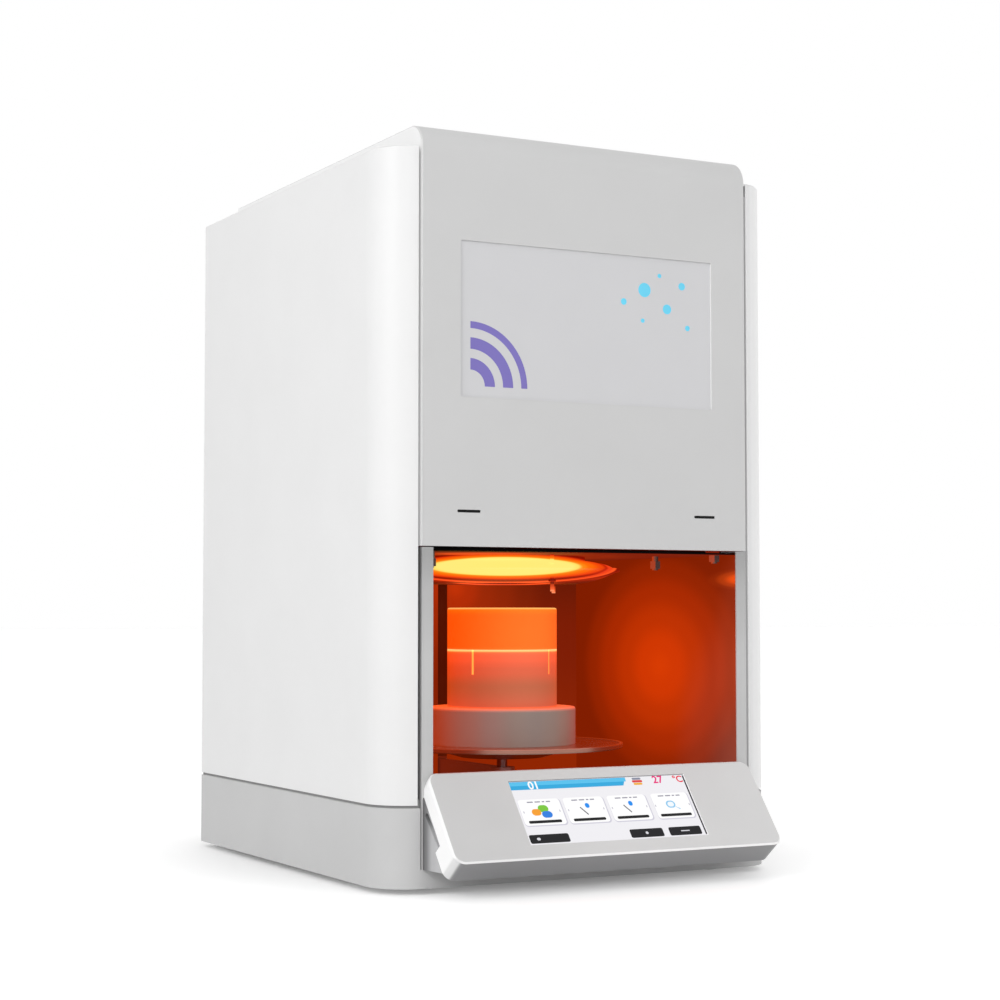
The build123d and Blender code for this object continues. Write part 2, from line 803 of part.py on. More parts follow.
inner_width = muffle_width - 2 * casing_sheet
inner_depth = muffle_depth - 2 * casing_sheet
element_radius = element_circle / 2
holder_length = element_pitch + 2 * holder_end
holder_z = casing_top_z - casing_sheet
element_places = [
    (element_radius * cos(angle), stack_y + element_radius * sin(angle), angle)
    for angle in (index * pi / 2 for index in range(4))
]
leg_places = [
    (x - side * sin(angle) * element_pitch / 2, y + side * cos(angle) * element_pitch / 2)
    for x, y, angle in element_places
    for side in (-1, 1)
]

with BuildPart() as muffle_casing:
    with BuildSketch(Plane.XY.offset(casing_z)):
        with Locations((0, muffle_y)):
            Rectangle(muffle_width, muffle_depth)
    extrude(amount=muffle_height)
    offset(amount=-casing_sheet, mode=Mode.SUBTRACT, kind=Kind.INTERSECTION)
    with BuildSketch(Plane.XY.offset(casing_z)):
        with Locations((0, stack_y)):
            Circle(mouth_hole_radius)
    extrude(amount=casing_sheet, mode=Mode.SUBTRACT)
    with BuildSketch(Plane.XY.offset(casing_top_z)):
        with Locations((0, stack_y)):
            Rectangle(roof_opening, roof_opening)
    extrude(amount=-casing_sheet, mode=Mode.SUBTRACT)
muffle_casing.part.label = "muffle_casing"

# Floor slab with the throat that the insulation block closes.
with BuildPart() as insulation_floor:
    with BuildSketch(Plane.XY.offset(slab_z)):
        with Locations((0, muffle_y)):
            Rectangle(inner_width, inner_depth)
        with Locations((0, stack_y)):
            Circle(bore_radius, mode=Mode.SUBTRACT)
    extrude(amount=floor_slab)
insulation_floor.part.label = "insulation_floor"

# Wall block around the round heating chamber.
with BuildPart() as insulation_wall:
    with BuildSketch(Plane.XY.offset(chamber_z)):
        with Locations((0, muffle_y)):
            Rectangle(inner_width, inner_depth)
        with Locations((0, stack_y)):
            Circle(chamber_diameter / 2, mode=Mode.SUBTRACT)
    extrude(amount=roof_z - chamber_z)
insulation_wall.part.label = "insulation_wall"

holder_places = [
    Location((x, y, holder_z), (0, 0, degrees(angle) + 90)) for x, y, angle in element_places
]

# Roof slab with a passage for each element holder and a bore for the thermocouple.
with BuildPart() as insulation_roof:
    with BuildSketch(Plane.XY.offset(roof_z)):
        with Locations((0, muffle_y)):
            Rectangle(inner_width, inner_depth)
        with Locations((0, stack_y)):
            Circle(probe_diameter / 2 + terminal_fit, mode=Mode.SUBTRACT)
    extrude(amount=roof_slab)
    for place in holder_places:
        with BuildSketch(Plane(place)):
            Rectangle(holder_length + 2 * terminal_fit, holder_width + 2 * terminal_fit)
        extrude(amount=-roof_slab, mode=Mode.SUBTRACT)
insulation_roof.part.label = "insulation_roof"

# Four U-shaped elements: two rods on a bridge, up through the roof to their terminals.
with BuildPart() as heating_elements:
    bridge_z = chamber_z + element_lift
    for place in holder_places:
        with BuildSketch(Plane(place).move(Location((0, 0, bridge_z - holder_z)))):
            Rectangle(element_pitch + bridge_width, bridge_width)
        extrude(amount=bridge_width)
    with BuildSketch(Plane.XY.offset(bridge_z + bridge_width)):
        with Locations(*leg_places):
            Circle(element_diameter / 2)
    extrude(amount=casing_top_z + terminal_height - bridge_z - bridge_width)
heating_elements.part.label = "heating_elements"

# Ceramic holders, one for each element: a plug through the roof under a wider head.
with BuildPart() as element_holders:
    for place in holder_places:
        with BuildSketch(Plane(place)):
            Rectangle(holder_length, holder_width)
        extrude(amount=-roof_slab)
        with BuildSketch(Plane(place)):
            Rectangle(holder_length + holder_head, holder_width + holder_head)
        extrude(amount=holder_height)
    with BuildSketch(Plane.XY.offset(roof_z)):
        with Locations(*leg_places):
            Circle(element_diameter / 2 + terminal_fit)
    extrude(amount=roof_slab + holder_height, mode=Mode.SUBTRACT)
element_holders.part.label = "element_holders"

# Aluminium straps across the terminals of neighbouring elements, which join them in series.
with BuildPart() as element_straps:
    for index in range(3):
        start = Vector(*leg_places[2 * index + 1], casing_top_z + terminal_height)
        end = Vector(*leg_places[2 * index + 2], casing_top_z + terminal_height)
        strap = Plane((start + end) / 2, x_dir=end - start, z_dir=(0, 0, 1))
        with BuildSketch(strap):
            Rectangle((end - start).length + strap_width, strap_width)
        extrude(amount=strap_thickness)
element_straps.part.label = "element_straps"

# Thermocouple: ceramic sheath through the roof and the connection head above it.
with BuildPart() as thermocouple:
    with BuildSketch(Plane.XY.offset(roof_z - probe_reach)):
        with Locations((0, stack_y)):
            Circle(probe_diameter / 2)
    extrude(amount=probe_reach + roof_slab)
    with BuildSketch(Plane.XY.offset(holder_z)):
        with Locations((0, stack_y)):
            RectangleRounded(probe_head_width, probe_head_depth, probe_head_round)
    extrude(amount=probe_head_height)
thermocouple.part.label = "thermocouple"

# ----------------------------------------------------------------------------------------
# Lift table and load
# ----------------------------------------------------------------------------------------

# Round table plate with an upright rim and clearance holes for the hangers.
with BuildPart() as lift_table:
    table_radius = table_diameter / 2
    with BuildSketch(Plane.XZ.offset(-stack_y)):
        with Locations((0, table_z)):
            Rectangle(table_radius, table_thickness, align=(Align.MIN, Align.MIN))
        with Locations((table_radius, table_z)):
            Rectangle(table_rim, table_rim_height, align=(Align.MAX, Align.MIN))
    revolve(axis=stack_axis)
    with BuildSketch(Plane.XY.offset(table_z)):
        with Locations((0, stack_y)):
            with PolarLocations(hanger_radius, 3, start_angle=hanger_angle):
                Circle(hanger_diameter)
    extrude(amount=table_thickness, mode=Mode.SUBTRACT)
lift_table.part.label = "lift_table"

# Shallow dish, solid inside, that stiffens the table and shields the arm from the heat.
with BuildPart() as table_dish:
    with BuildSketch(Plane.XZ.offset(-stack_y)):
        with BuildLine():
            Polyline(
                (shaft_diameter / 2 + seat_gap, dish_z),
                (dish_flat, dish_z),
                (dish_diameter / 2, table_z),
                (shaft_diameter / 2 + seat_gap, table_z),
                close=True,
            )
        make_face()
    revolve(axis=stack_axis)
table_dish.part.label = "table_dish"

# Short shaft between the arm and the table.
with BuildPart() as lift_shaft:
    with BuildSketch(Plane.XY.offset(arm_z)):
        with Locations((0, stack_y)):
            Circle(shaft_diameter / 2)
    extrude(amount=table_z - arm_z)
lift_shaft.part.label = "lift_shaft"

# Arm from the shaft through the slot in the rear wall to the carriage.
with BuildPart() as lift_arm:
    arm_end_y = carriage_y - carriage_depth / 2
    with BuildSketch(Plane.XY.offset(arm_z)):
        with Locations((0, stack_y)):
            Circle(arm_boss_diameter / 2)
            Rectangle(arm_width, arm_end_y - stack_y, align=(Align.CENTER, Align.MIN))
        with Locations((0, arm_end_y)):
            Rectangle(arm_flange_width, arm_flange, align=(Align.CENTER, Align.MAX))
    extrude(amount=arm_height)
    with BuildSketch(Plane.XY.offset(arm_z)):
        with Locations((0, stack_y)):
            Circle(shaft_diameter / 2 + seat_gap)
    extrude(amount=arm_height, mode=Mode.SUBTRACT)
lift_arm.part.label = "lift_arm"

# Insulation block that closes the throat.
with BuildPart() as insulation_block:
    with BuildSketch(Plane.XY.offset(table_top_z)):
        with Locations((0, stack_y)):
            Circle(plug_diameter / 2)
    extrude(amount=plug_height)
insulation_block.part.label = "insulation_block"

# Crucible with four narrow slots in its rim, where the furnace air enters.
with BuildPart() as crucible:
    with BuildSketch(Plane.XY.offset(plug_top_z)):
        with Locations((0, stack_y)):
            Circle(crucible_diameter / 2)
    extrude(amount=crucible_height)
    with BuildSketch(Plane.XY.offset(plug_top_z + crucible_wall)):
        with Locations((0, stack_y)):
            Circle(crucible_diameter / 2 - crucible_wall)
    extrude(amount=crucible_height, mode=Mode.SUBTRACT)
    slot_middle = crucible_diameter / 2 - crucible_wall / 2
    with BuildSketch(Plane.XY.offset(crucible_top_z)):
        with Locations((0, stack_y)):
            with PolarLocations(slot_middle, 4, start_angle=rim_slot_angle - 90):
                Rectangle(crucible_wall * 2, rim_slot_width)
    extrude(amount=-rim_slot_depth, mode=Mode.SUBTRACT)
crucible.part.label = "crucible"

# Lid: a deep cap with a register that drops into the crucible.
with BuildPart() as crucible_lid:
    register_radius = crucible_diameter / 2 - crucible_wall - lid_fit
    with BuildSketch(Plane.XY.offset(crucible_top_z)):
        with Locations((0, stack_y)):
            Circle(crucible_diameter / 2)
    extrude(amount=lid_height)
    with BuildSketch(Plane.XY.offset(crucible_top_z)):
        with Locations((0, stack_y)):
            Circle(register_radius)
    extrude(amount=-lid_register)
    with BuildSketch(Plane.XY.offset(crucible_top_z - lid_register)):
        with Locations((0, stack_y)):
            Circle(register_radius - crucible_wall)
    extrude(amount=lid_height + lid_register - lid_roof, mode=Mode.SUBTRACT)
crucible_lid.part.label = "crucible_lid"

# ----------------------------------------------------------------------------------------
# Lift drive behind the bay
# ----------------------------------------------------------------------------------------

rod_places = [(side * rod_spacing / 2, carriage_y) for side in (-1, 1)]

# Carriage block with bores for two long bushes and the nut.
with BuildPart() as lift_carriage:
    with BuildSketch(Plane.XY.offset(carriage_z)):
        with Locations((0, carriage_y)):
            Rectangle(carriage_width, carriage_depth)
            Rectangle(
                nut_side + 2 * seat_gap, nut_side + 2 * seat_gap, mode=Mode.SUBTRACT
            )
        with Locations(*rod_places):
            Circle(bush_diameter / 2 + seat_gap, mode=Mode.SUBTRACT)
    extrude(amount=carriage_height)
    corner_edges = edges().filter_by(Axis.Z).group_by(Axis.X)
    chamfer(corner_edges[0] + corner_edges[-1], carriage_chamfer)
lift_carriage.part.label = "lift_carriage"

# One long bush in each outer bore of the carriage.
with BuildPart() as carriage_bushes:
    with BuildSketch(Plane.XY.offset(carriage_z)):
        with Locations(*rod_places):
            Circle(bush_diameter / 2)
            Circle(rod_diameter / 2 + running_gap, mode=Mode.SUBTRACT)
    extrude(amount=carriage_height)
carriage_bushes.part.label = "carriage_bushes"

# Square bronze nut in a pocket of the carriage, flanged below.
with BuildPart() as lift_nut:
    with BuildSketch(Plane.XY.offset(carriage_z)):
        with Locations((0, carriage_y)):
            Rectangle(nut_side, nut_side)
    extrude(amount=nut_length)
    with BuildSketch(Plane.XY.offset(carriage_z)):
        with Locations((0, carriage_y)):
            Rectangle(nut_flange, carriage_depth)
    extrude(amount=-nut_flange_height)
    with BuildSketch(Plane.XY.offset(carriage_z - nut_flange_height)):
        with Locations((0, carriage_y)):
            Circle(screw_diameter / 2 + running_gap)
    extrude(amount=nut_length + nut_flange_height, mode=Mode.SUBTRACT)
lift_nut.part.label = "lift_nut"

# End plates between which the rods stand. They guide the screw and are bolted to the bulkhead.
with BuildPart() as lower_bearing_plate:
    plate_depth = bulkhead_y - carriage_y + carriage_depth / 2
    with BuildSketch(Plane.XY.offset(lower_plate_z)):
        with Locations((0, bulkhead_y)):
            Rectangle(carriage_width, plate_depth, align=(Align.CENTER, Align.MAX))
        with Locations((0, carriage_y)):
            Circle(screw_diameter / 2 + running_gap, mode=Mode.SUBTRACT)
    extrude(amount=bearing_plate)
lower_bearing_plate.part.label = "lower_bearing_plate"

with BuildPart() as upper_bearing_plate:
    add(lower_bearing_plate.part.moved(Location((0, 0, upper_plate_z - lower_plate_z))))
upper_bearing_plate.part.label = "upper_bearing_plate"

# Two hardened rods that guide the carriage.
with BuildPart() as guide_rods:
    with BuildSketch(Plane.XY.offset(lower_plate_z + bearing_plate)):
        with Locations(*rod_places):
            Circle(rod_diameter / 2)
    extrude(amount=upper_plate_z - lower_plate_z - bearing_plate)
guide_rods.part.label = "guide_rods"

# Lead screw, which turns in the end plates and lifts the nut.
with BuildPart() as lead_screw:
    with BuildSketch(Plane.XY.offset(lower_plate_z)):
        with Locations((0, carriage_y)):
            Circle(screw_diameter / 2)
    extrude(amount=coupling_z + coupling_length / 2 - lower_plate_z)
lead_screw.part.label = "lead_screw"

# Eight-sided clamp coupling between the screw and the motor shaft.
with BuildPart() as shaft_coupling:
    with BuildSketch(Plane.XY.offset(coupling_z)):
        with Locations((0, carriage_y)):
            RegularPolygon(coupling_diameter / 2, 8)
            Circle(screw_diameter / 2 + seat_gap, mode=Mode.SUBTRACT)
    extrude(amount=coupling_length / 2)
    with BuildSketch(Plane.XY.offset(coupling_z + coupling_length / 2)):
        with Locations((0, carriage_y)):
            RegularPolygon(coupling_diameter / 2, 8)
            Circle(motor_shaft_diameter / 2 + seat_gap, mode=Mode.SUBTRACT)
    extrude(amount=coupling_length / 2)
shaft_coupling.part.label = "shaft_coupling"

with BuildPart() as motor_shaft:
    with BuildSketch(Plane.XY.offset(coupling_z + coupling_length / 2)):
        with Locations((0, carriage_y)):
            Circle(motor_shaft_diameter / 2)
    extrude(amount=motor_z + motor_length / 2 - coupling_z - coupling_length / 2)
motor_shaft.part.label = "motor_shaft"

# Stepper motor, standing on its bracket with the shaft downward.
with BuildPart() as lift_motor:
    with BuildSketch(Plane.XY.offset(motor_z)):
        with Locations((0, carriage_y)):
            RectangleRounded(motor_side, motor_side, motor_round)
    extrude(amount=motor_length)
    with BuildSketch(Plane.XY.offset(motor_z)):
        with Locations((0, carriage_y)):
            Circle(motor_shaft_diameter / 2 + running_gap)
    extrude(amount=motor_length / 2 + running_gap, mode=Mode.SUBTRACT)
lift_motor.part.label = "lift_motor"

# Angle bracket under the motor, fixed to the bulkhead.
with BuildPart() as motor_bracket:
    bracket_width = motor_side + 2 * bracket_side
    with BuildSketch(Plane.XY.offset(motor_z)):
        with Locations((0, bulkhead_y)):
            Rectangle(
                bracket_width,
                bulkhead_y - carriage_y + motor_side / 2,
                align=(Align.CENTER, Align.MAX),
            )
        with Locations((0, carriage_y)):
            Circle(coupling_diameter / 2 + bracket_bore_gap, mode=Mode.SUBTRACT)
    extrude(amount=-bracket_sheet)
    with BuildSketch(Plane.XY.offset(motor_z)):
        with Locations((0, bulkhead_y)):
            Rectangle(bracket_width, bracket_sheet, align=(Align.CENTER, Align.MAX))
    extrude(amount=motor_length)
motor_bracket.part.label = "motor_bracket"

# ----------------------------------------------------------------------------------------
# Console with the touch screen
# ----------------------------------------------------------------------------------------

# Bezel: a deep tray with bevelled rim. Its lower part reaches further back as a fascia.
with BuildPart() as console_bezel:
    with BuildSketch(console_face):
        with Locations((0, face_length / 2)):
            RectangleRounded(console_width, face_length, face_round)
    extrude(amount=-fascia_depth)
    chamfer(
        faces().sort_by(Axis((0, 0, 0), console_face.z_dir))[-1].edges(), rim_bevel
    )
    with BuildSketch(console_face.offset(-bezel_depth)):
        with Locations((0, fascia_height)):
            Rectangle(
                console_width, face_length, align=(Align.CENTER, Align.MIN)
            )
    extrude(amount=-fascia_depth, mode=Mode.SUBTRACT)
    with BuildSketch(console_face.offset(-bezel_front)):
        with Locations((0, face_length / 2)):
            RectangleRounded(
                console_width - 2 * bezel_wall,
                face_length - 2 * bezel_wall,
                face_round - bezel_wall,
            )
    extrude(amount=-fascia_depth, mode=Mode.SUBTRACT)
    with BuildSketch(console_face):
        with Locations((0, screen_rise)):
            Rectangle(screen_width, screen_height, align=(Align.CENTER, Align.MIN))
    extrude(amount=-bezel_front, mode=Mode.SUBTRACT)
    split(bisect_by=front_face, keep=Keep.TOP)
console_bezel.part.label = "console_bezel"

# Housing behind the bezel: cheeks that spread towards the portal, joined by a floor.
with BuildPart() as console_housing:
    shoulder = console_face.from_local_coords((0, fascia_height, -bezel_depth))
    heel = console_face.from_local_coords((0, fascia_height, -fascia_depth))
    wedge_top_z = shoulder.Z + (front_y - shoulder.Y) * cos(tilt) / sin(tilt)
    toe_y = heel.Y - (heel.Z - console_floor_z) * sin(tilt) / cos(tilt)
    toe_x = console_width / 2 - cheek_inset
    root_x = portal_width / 2 - console_root
    with BuildSketch(Plane.YZ):
        with BuildLine():
            Polyline(
                (front_y, console_floor_z),
                (front_y, wedge_top_z),
                (shoulder.Y, shoulder.Z),
                (heel.Y, heel.Z),
                (toe_y, console_floor_z),
                close=True,
            )
        make_face()
    extrude(amount=cabinet_width / 2, both=True)
    for inset, floor_z, mode in (
        (0.0, console_floor_z, Mode.INTERSECT),
        (cheek_wall, console_floor_z + bezel_wall, Mode.SUBTRACT),
    ):
        with BuildSketch(Plane.XY.offset(floor_z)):
            with BuildLine():
                Polyline(
                    (inset - root_x, front_y),
                    (root_x - inset, front_y),
                    (toe_x - inset, toe_y),
                    (inset - toe_x, toe_y),
                    close=True,
                )
            make_face()
        extrude(amount=console_top_z, mode=mode)
    grip = console_face.from_local_coords(
        (0, cheek_slot_rise, -bezel_depth - cheek_slot_width)
    )
    grip_x = root_x + (toe_x - root_x) * (grip.Y - front_y) / (toe_y - front_y)
    for side in (-1, 1):
        with BuildSketch(Plane.YZ.offset(side * (grip_x - cheek_slot_depth))):
            with Locations(Location((grip.Y, grip.Z), 90 - face_tilt)):
                SlotOverall(cheek_slot_length, cheek_slot_width)
        extrude(amount=side * 4 * cheek_slot_depth, mode=Mode.SUBTRACT)
console_housing.part.label = "console_housing"

# Touch glass in the window of the bezel.
with BuildPart() as touch_glass:
    with BuildSketch(console_face.offset(-screen_recess)):
        with Locations((0, screen_rise + screen_height / 2)):
            RectangleRounded(
                screen_width - 2 * screen_clearance,
                screen_height - 2 * screen_clearance,
                screen_corner,
            )
    extrude(amount=screen_recess - bezel_front)
touch_glass.part.label = "touch_glass"

# Display module with its driver board, held against the back of the bezel.
with BuildPart() as display_module:
    with BuildSketch(console_face.offset(-bezel_front)):
        with Locations((0, screen_rise + screen_height / 2)):
            Rectangle(
                screen_width + 2 * display_margin, screen_height + 2 * display_margin
            )
    extrude(amount=-display_thickness)
    with BuildSketch(console_face.offset(-bezel_front - display_thickness)):
        with Locations((0, screen_rise + screen_height / 2)):
            Rectangle(display_board_width, display_board_height)
    extrude(amount=-board_thickness)
display_module.part.label = "display_module"

# ----------------------------------------------------------------------------------------
# Rear fittings and electrics
# ----------------------------------------------------------------------------------------

fan_plane = rear_face.offset(-sheet)
spider_y = chassis_back_y - fan_depth

# Square frame of the cooling fan, with the spider that carries the rotor's pin.
with BuildPart() as fan_frame:
    with BuildSketch(fan_plane):
        with Locations((fan_x, fan_z)):
            Rectangle(fan_side, fan_side)
            Circle(fan_bore, mode=Mode.SUBTRACT)
    extrude(amount=-fan_depth)
    with BuildSketch(fan_plane.offset(-fan_depth)):
        with Locations((fan_x, fan_z)):
            Circle(fan_hub_radius)
            for turn in (-45, 45):
                Rectangle(2 * fan_bore + spider_thickness, spider_width, rotation=turn)
    extrude(amount=spider_thickness)
    with BuildSketch(fan_plane.offset(-fan_depth)):
        with Locations((fan_x, fan_z)):
            Circle(fan_pin_radius)
    extrude(amount=fan_depth - spider_thickness)
fan_frame.part.label = "fan_frame"

# Fan rotor: hub and pitched blades on the frame's pin.
with BuildPart() as fan_rotor:
    rotor_plane = fan_plane.offset(-fan_depth + spider_thickness + rotor_gap)
    rotor_length = fan_depth - 2 * (spider_thickness + rotor_gap)
    blade_root = fan_hub_radius - fan_blade_sheet
    hub_middle = Vector(
        fan_x, spider_y + spider_thickness + rotor_gap + rotor_length / 2, fan_z
    )
    with BuildSketch(rotor_plane):
        with Locations((fan_x, fan_z)):
            Circle(fan_hub_radius)
    extrude(amount=rotor_length)
    for blade in range(fan_blades):
        angle = 2 * pi * blade / fan_blades
        radial = Vector(cos(angle), 0, sin(angle))
        chord = Vector(-sin(angle), fan_blade_pitch, cos(angle))
        with BuildSketch(Plane(hub_middle + radial * blade_root, chord, radial)):
            Rectangle(fan_blade_chord, fan_blade_sheet)
        extrude(amount=fan_bore - tip_gap - blade_root)
    with BuildSketch(rotor_plane):
        with Locations((fan_x, fan_z)):
            Circle(fan_pin_radius + running_gap)
    extrude(amount=rotor_length, mode=Mode.SUBTRACT)
fan_rotor.part.label = "fan_rotor"

# Mains inlet: flanged socket with three flat pins.
with BuildPart() as power_inlet:
    with BuildSketch(rear_face):
        with Locations((-inlet_x, service_z)):
            RectangleRounded(
                inlet_body_width + 2 * inlet_flange_side,
                inlet_body_height + 2 * inlet_flange_edge,
                inlet_corner,
            )
    extrude(amount=inlet_flange)
    with BuildSketch(rear_face):
        with Locations((-inlet_x, service_z)):
            Rectangle(
                inlet_body_width - 2 * panel_fit, inlet_body_height - 2 * panel_fit
            )
    extrude(amount=-(inlet_depth + inlet_base))
    with BuildSketch(rear_face.offset(inlet_flange)):
        with Locations((-inlet_x, service_z)):
            Rectangle(inlet_width, inlet_height)
    extrude(amount=-(inlet_depth + inlet_flange), mode=Mode.SUBTRACT)
    with BuildSketch(rear_face.offset(-inlet_depth)):
        with Locations((-inlet_x, service_z)):
            with GridLocations(inlet_pin_pitch, 0, 3, 1):
                Rectangle(inlet_pin_width, inlet_pin_height)
    extrude(amount=inlet_depth - inlet_pin_setback)
power_inlet.part.label = "power_inlet"

# Main switch: snap-in frame with bearing holes for the rocker's pins.
with BuildPart() as switch_frame:
    with BuildSketch(rear_face):
        with Locations((-switch_x, service_z)):
            Rectangle(
                switch_width + 2 * switch_flange, switch_height + 2 * switch_flange
            )
    extrude(amount=switch_flange)
    with BuildSketch(rear_face):
        with Locations((-switch_x, service_z)):
            Rectangle(switch_width - 2 * panel_fit, switch_height - 2 * panel_fit)
    extrude(amount=-switch_depth)
    with BuildSketch(rear_face.offset(switch_flange)):
        with Locations((-switch_x, service_z)):
            Rectangle(
                rocker_width + 2 * rocker_gap, rocker_height + 2 * rocker_end_gap
            )
    extrude(amount=-rocker_well, mode=Mode.SUBTRACT)
    with BuildSketch(Plane.YZ.offset(switch_x)):
        with Locations((back_y - rocker_depth, service_z)):
            Circle(rocker_pin + running_gap)
    extrude(
        amount=rocker_width / 2 + rocker_pin_reach + rocker_gap / 2,
        both=True,
        mode=Mode.SUBTRACT,
    )
switch_frame.part.label = "switch_frame"

# Rocker with its two pins. The upper half is pressed in.
with BuildPart() as switch_rocker:
    rocker_tilt = radians(rocker_angle)
    rocker_half = rocker_height / 2
    rocker_tip = rocker_nose + rocker_half * sin(rocker_tilt)
    pivot = Plane(
        (switch_x, back_y - rocker_depth, service_z),
        x_dir=(0, cos(rocker_tilt), sin(rocker_tilt)),
        z_dir=(1, 0, 0),
    )
    with BuildSketch(pivot):
        with BuildLine():
            Polyline(
                (rocker_nose, 0),
                (rocker_tip, rocker_half),
                (-rocker_belly / 2, rocker_half),
                (-rocker_belly, 0),
                (-rocker_belly / 2, -rocker_half),
                (rocker_tip, -rocker_half),
                close=True,
            )
        make_face()
    extrude(amount=rocker_width / 2, both=True)
    with BuildSketch(pivot):
        Circle(rocker_pin)
    extrude(amount=rocker_width / 2 + rocker_pin_reach, both=True)
switch_rocker.part.label = "switch_rocker"

# Two fuse holders with hexagonal flanges and caps.
with BuildPart() as fuse_holders:
    with BuildSketch(rear_face):
        with Locations(*fuse_places):
            RegularPolygon(fuse_flange_radius, 6)
    extrude(amount=fuse_flange)
    with BuildSketch(rear_face.offset(fuse_cap_reach)):
        with Locations(*fuse_places):
            RegularPolygon(fuse_radius, 6)
    extrude(amount=-fuse_cap_reach - fuse_depth)
fuse_holders.part.label = "fuse_holders"

# Transformer of the heating circuit: laminated core on its foot plate, with two windings.
with BuildPart() as power_transformer:
    transformer_x = (carriage_width / 2 + wall_x) / 2  # midway between carriage and chassis
    transformer_y = (bay_back_y + bulkhead_y) / 2
    core_z = tub_floor_z + transformer_foot
    with BuildSketch(Plane.XY.offset(tub_floor_z)):
        with Locations((transformer_x, transformer_y)):
            Rectangle(core_width, coil_depth)
    extrude(amount=transformer_foot)
    with BuildSketch(Plane.XZ.offset(-transformer_y)):
        with Locations((transformer_x, core_z + core_height / 2)):
            Rectangle(core_width, core_height)
            Rectangle(
                core_width - 2 * core_leg,
                core_height - 2 * core_leg,
                mode=Mode.SUBTRACT,
            )
    extrude(amount=core_depth / 2, both=True)
    with BuildSketch(Plane.XY.offset(core_z + core_leg + coil_gap)):
        with Locations((transformer_x, transformer_y)):
            with GridLocations(core_width - core_leg, 0, 2, 1):
                RectangleRounded(coil_width, coil_depth, coil_round)
    extrude(amount=core_height - 2 * (core_leg + coil_gap))
power_transformer.part.label = "power_transformer"

# Thyristor controller on a finned heat sink, bolted to the bulkhead.
with BuildPart() as power_controller:
    fin_pitch = (sink_width - sink_fin) / (sink_fins - 1)
    with BuildSketch(Plane.XY.offset(tub_floor_z + sink_rise)):
        with Locations((-transformer_x, bulkhead_y)):
            Rectangle(sink_width, sink_base, align=(Align.CENTER, Align.MAX))
            with GridLocations(fin_pitch, 0, sink_fins, 1):
                Rectangle(sink_fin, sink_depth, align=(Align.CENTER, Align.MAX))
    extrude(amount=sink_height)
power_controller.part.label = "power_controller"

# Control board on four pillars behind the bulkhead, with a processor can, four relays, three
# capacitors and a strip of terminals along each long edge.
with BuildPart() as control_board:
    pillar_plane = Plane((0, bulkhead_y + sheet, 0), x_dir=(-1, 0, 0), z_dir=(0, 1, 0))
    board_plane = pillar_plane.offset(board_pillar)
    parts_plane = board_plane.offset(board_thickness)
    board_z = (service_z + fan_z) / 2
    pillar_x = board_width - 2 * board_pillar_inset
    pillar_z = board_height - 2 * board_pillar_inset
    strip_z = board_height - 4 * board_pillar_inset
    with BuildSketch(pillar_plane):
        with Locations((0, board_z)):
            with GridLocations(pillar_x, pillar_z, 2, 2):
                RegularPolygon(board_pillar_radius, 6)
    extrude(amount=board_pillar)
    with BuildSketch(board_plane):
        with Locations((0, board_z)):
            Rectangle(board_width, board_height)
    extrude(amount=board_thickness)
    with BuildSketch(parts_plane):
        with Locations((0, board_z)):
            with GridLocations(0, strip_z, 1, 2):
                Rectangle(strip_width, strip_height)
        with Locations((can_side, board_z)):
            Rectangle(can_side, can_side)
    extrude(amount=strip_depth)
    with BuildSketch(parts_plane):
        with Locations((-board_width / 4, board_z)):
            with GridLocations(relay_pitch, 0, 4, 1):
                Rectangle(relay_width, relay_height)
    extrude(amount=relay_depth)
    with BuildSketch(parts_plane):
        with Locations((board_width / 2 - 2 * capacitor_diameter, board_z)):
            with GridLocations(0, capacitor_pitch, 1, 3):
                RegularPolygon(capacitor_diameter / 2, 8)
    extrude(amount=capacitor_height)
control_board.part.label = "control_board"

# ----------------------------------------------------------------------------------------
# One STEP file for each piece
# ----------------------------------------------------------------------------------------

pieces = (
    base_tub, rubber_feet, left_side_panel, right_side_panel, front_top_cover, name_plate,
    slot_inserts, front_portal, left_chassis, right_chassis, bulkhead, rear_panel,
    bay_floor, bay_left_wall, bay_right_wall, bay_rear_wall, bay_ceiling,
    mouth_collar, mouth_ring, ring_hangers, ceiling_studs,
    muffle_casing, insulation_floor, insulation_wall, insulation_roof,
    heating_elements, element_holders, element_straps, thermocouple,
    lift_table, table_dish, lift_shaft, lift_arm, insulation_block, crucible, crucible_lid,
    lift_carriage, carriage_bushes, lift_nut, lower_bearing_plate, upper_bearing_plate,
    guide_rods, lead_screw, shaft_coupling, motor_shaft, lift_motor, motor_bracket,
    console_bezel, console_housing, touch_glass, display_module,
    fan_frame, fan_rotor, power_inlet, switch_frame, switch_rocker, fuse_holders,
    power_transformer, power_controller, control_board,
)
os.makedirs("parts", exist_ok=True)
for piece in pieces:
    export_step(piece.part, f"parts/{piece.part.label}.step")
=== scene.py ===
import math

import bmesh
import bpy
from mathutils import Matrix, Vector


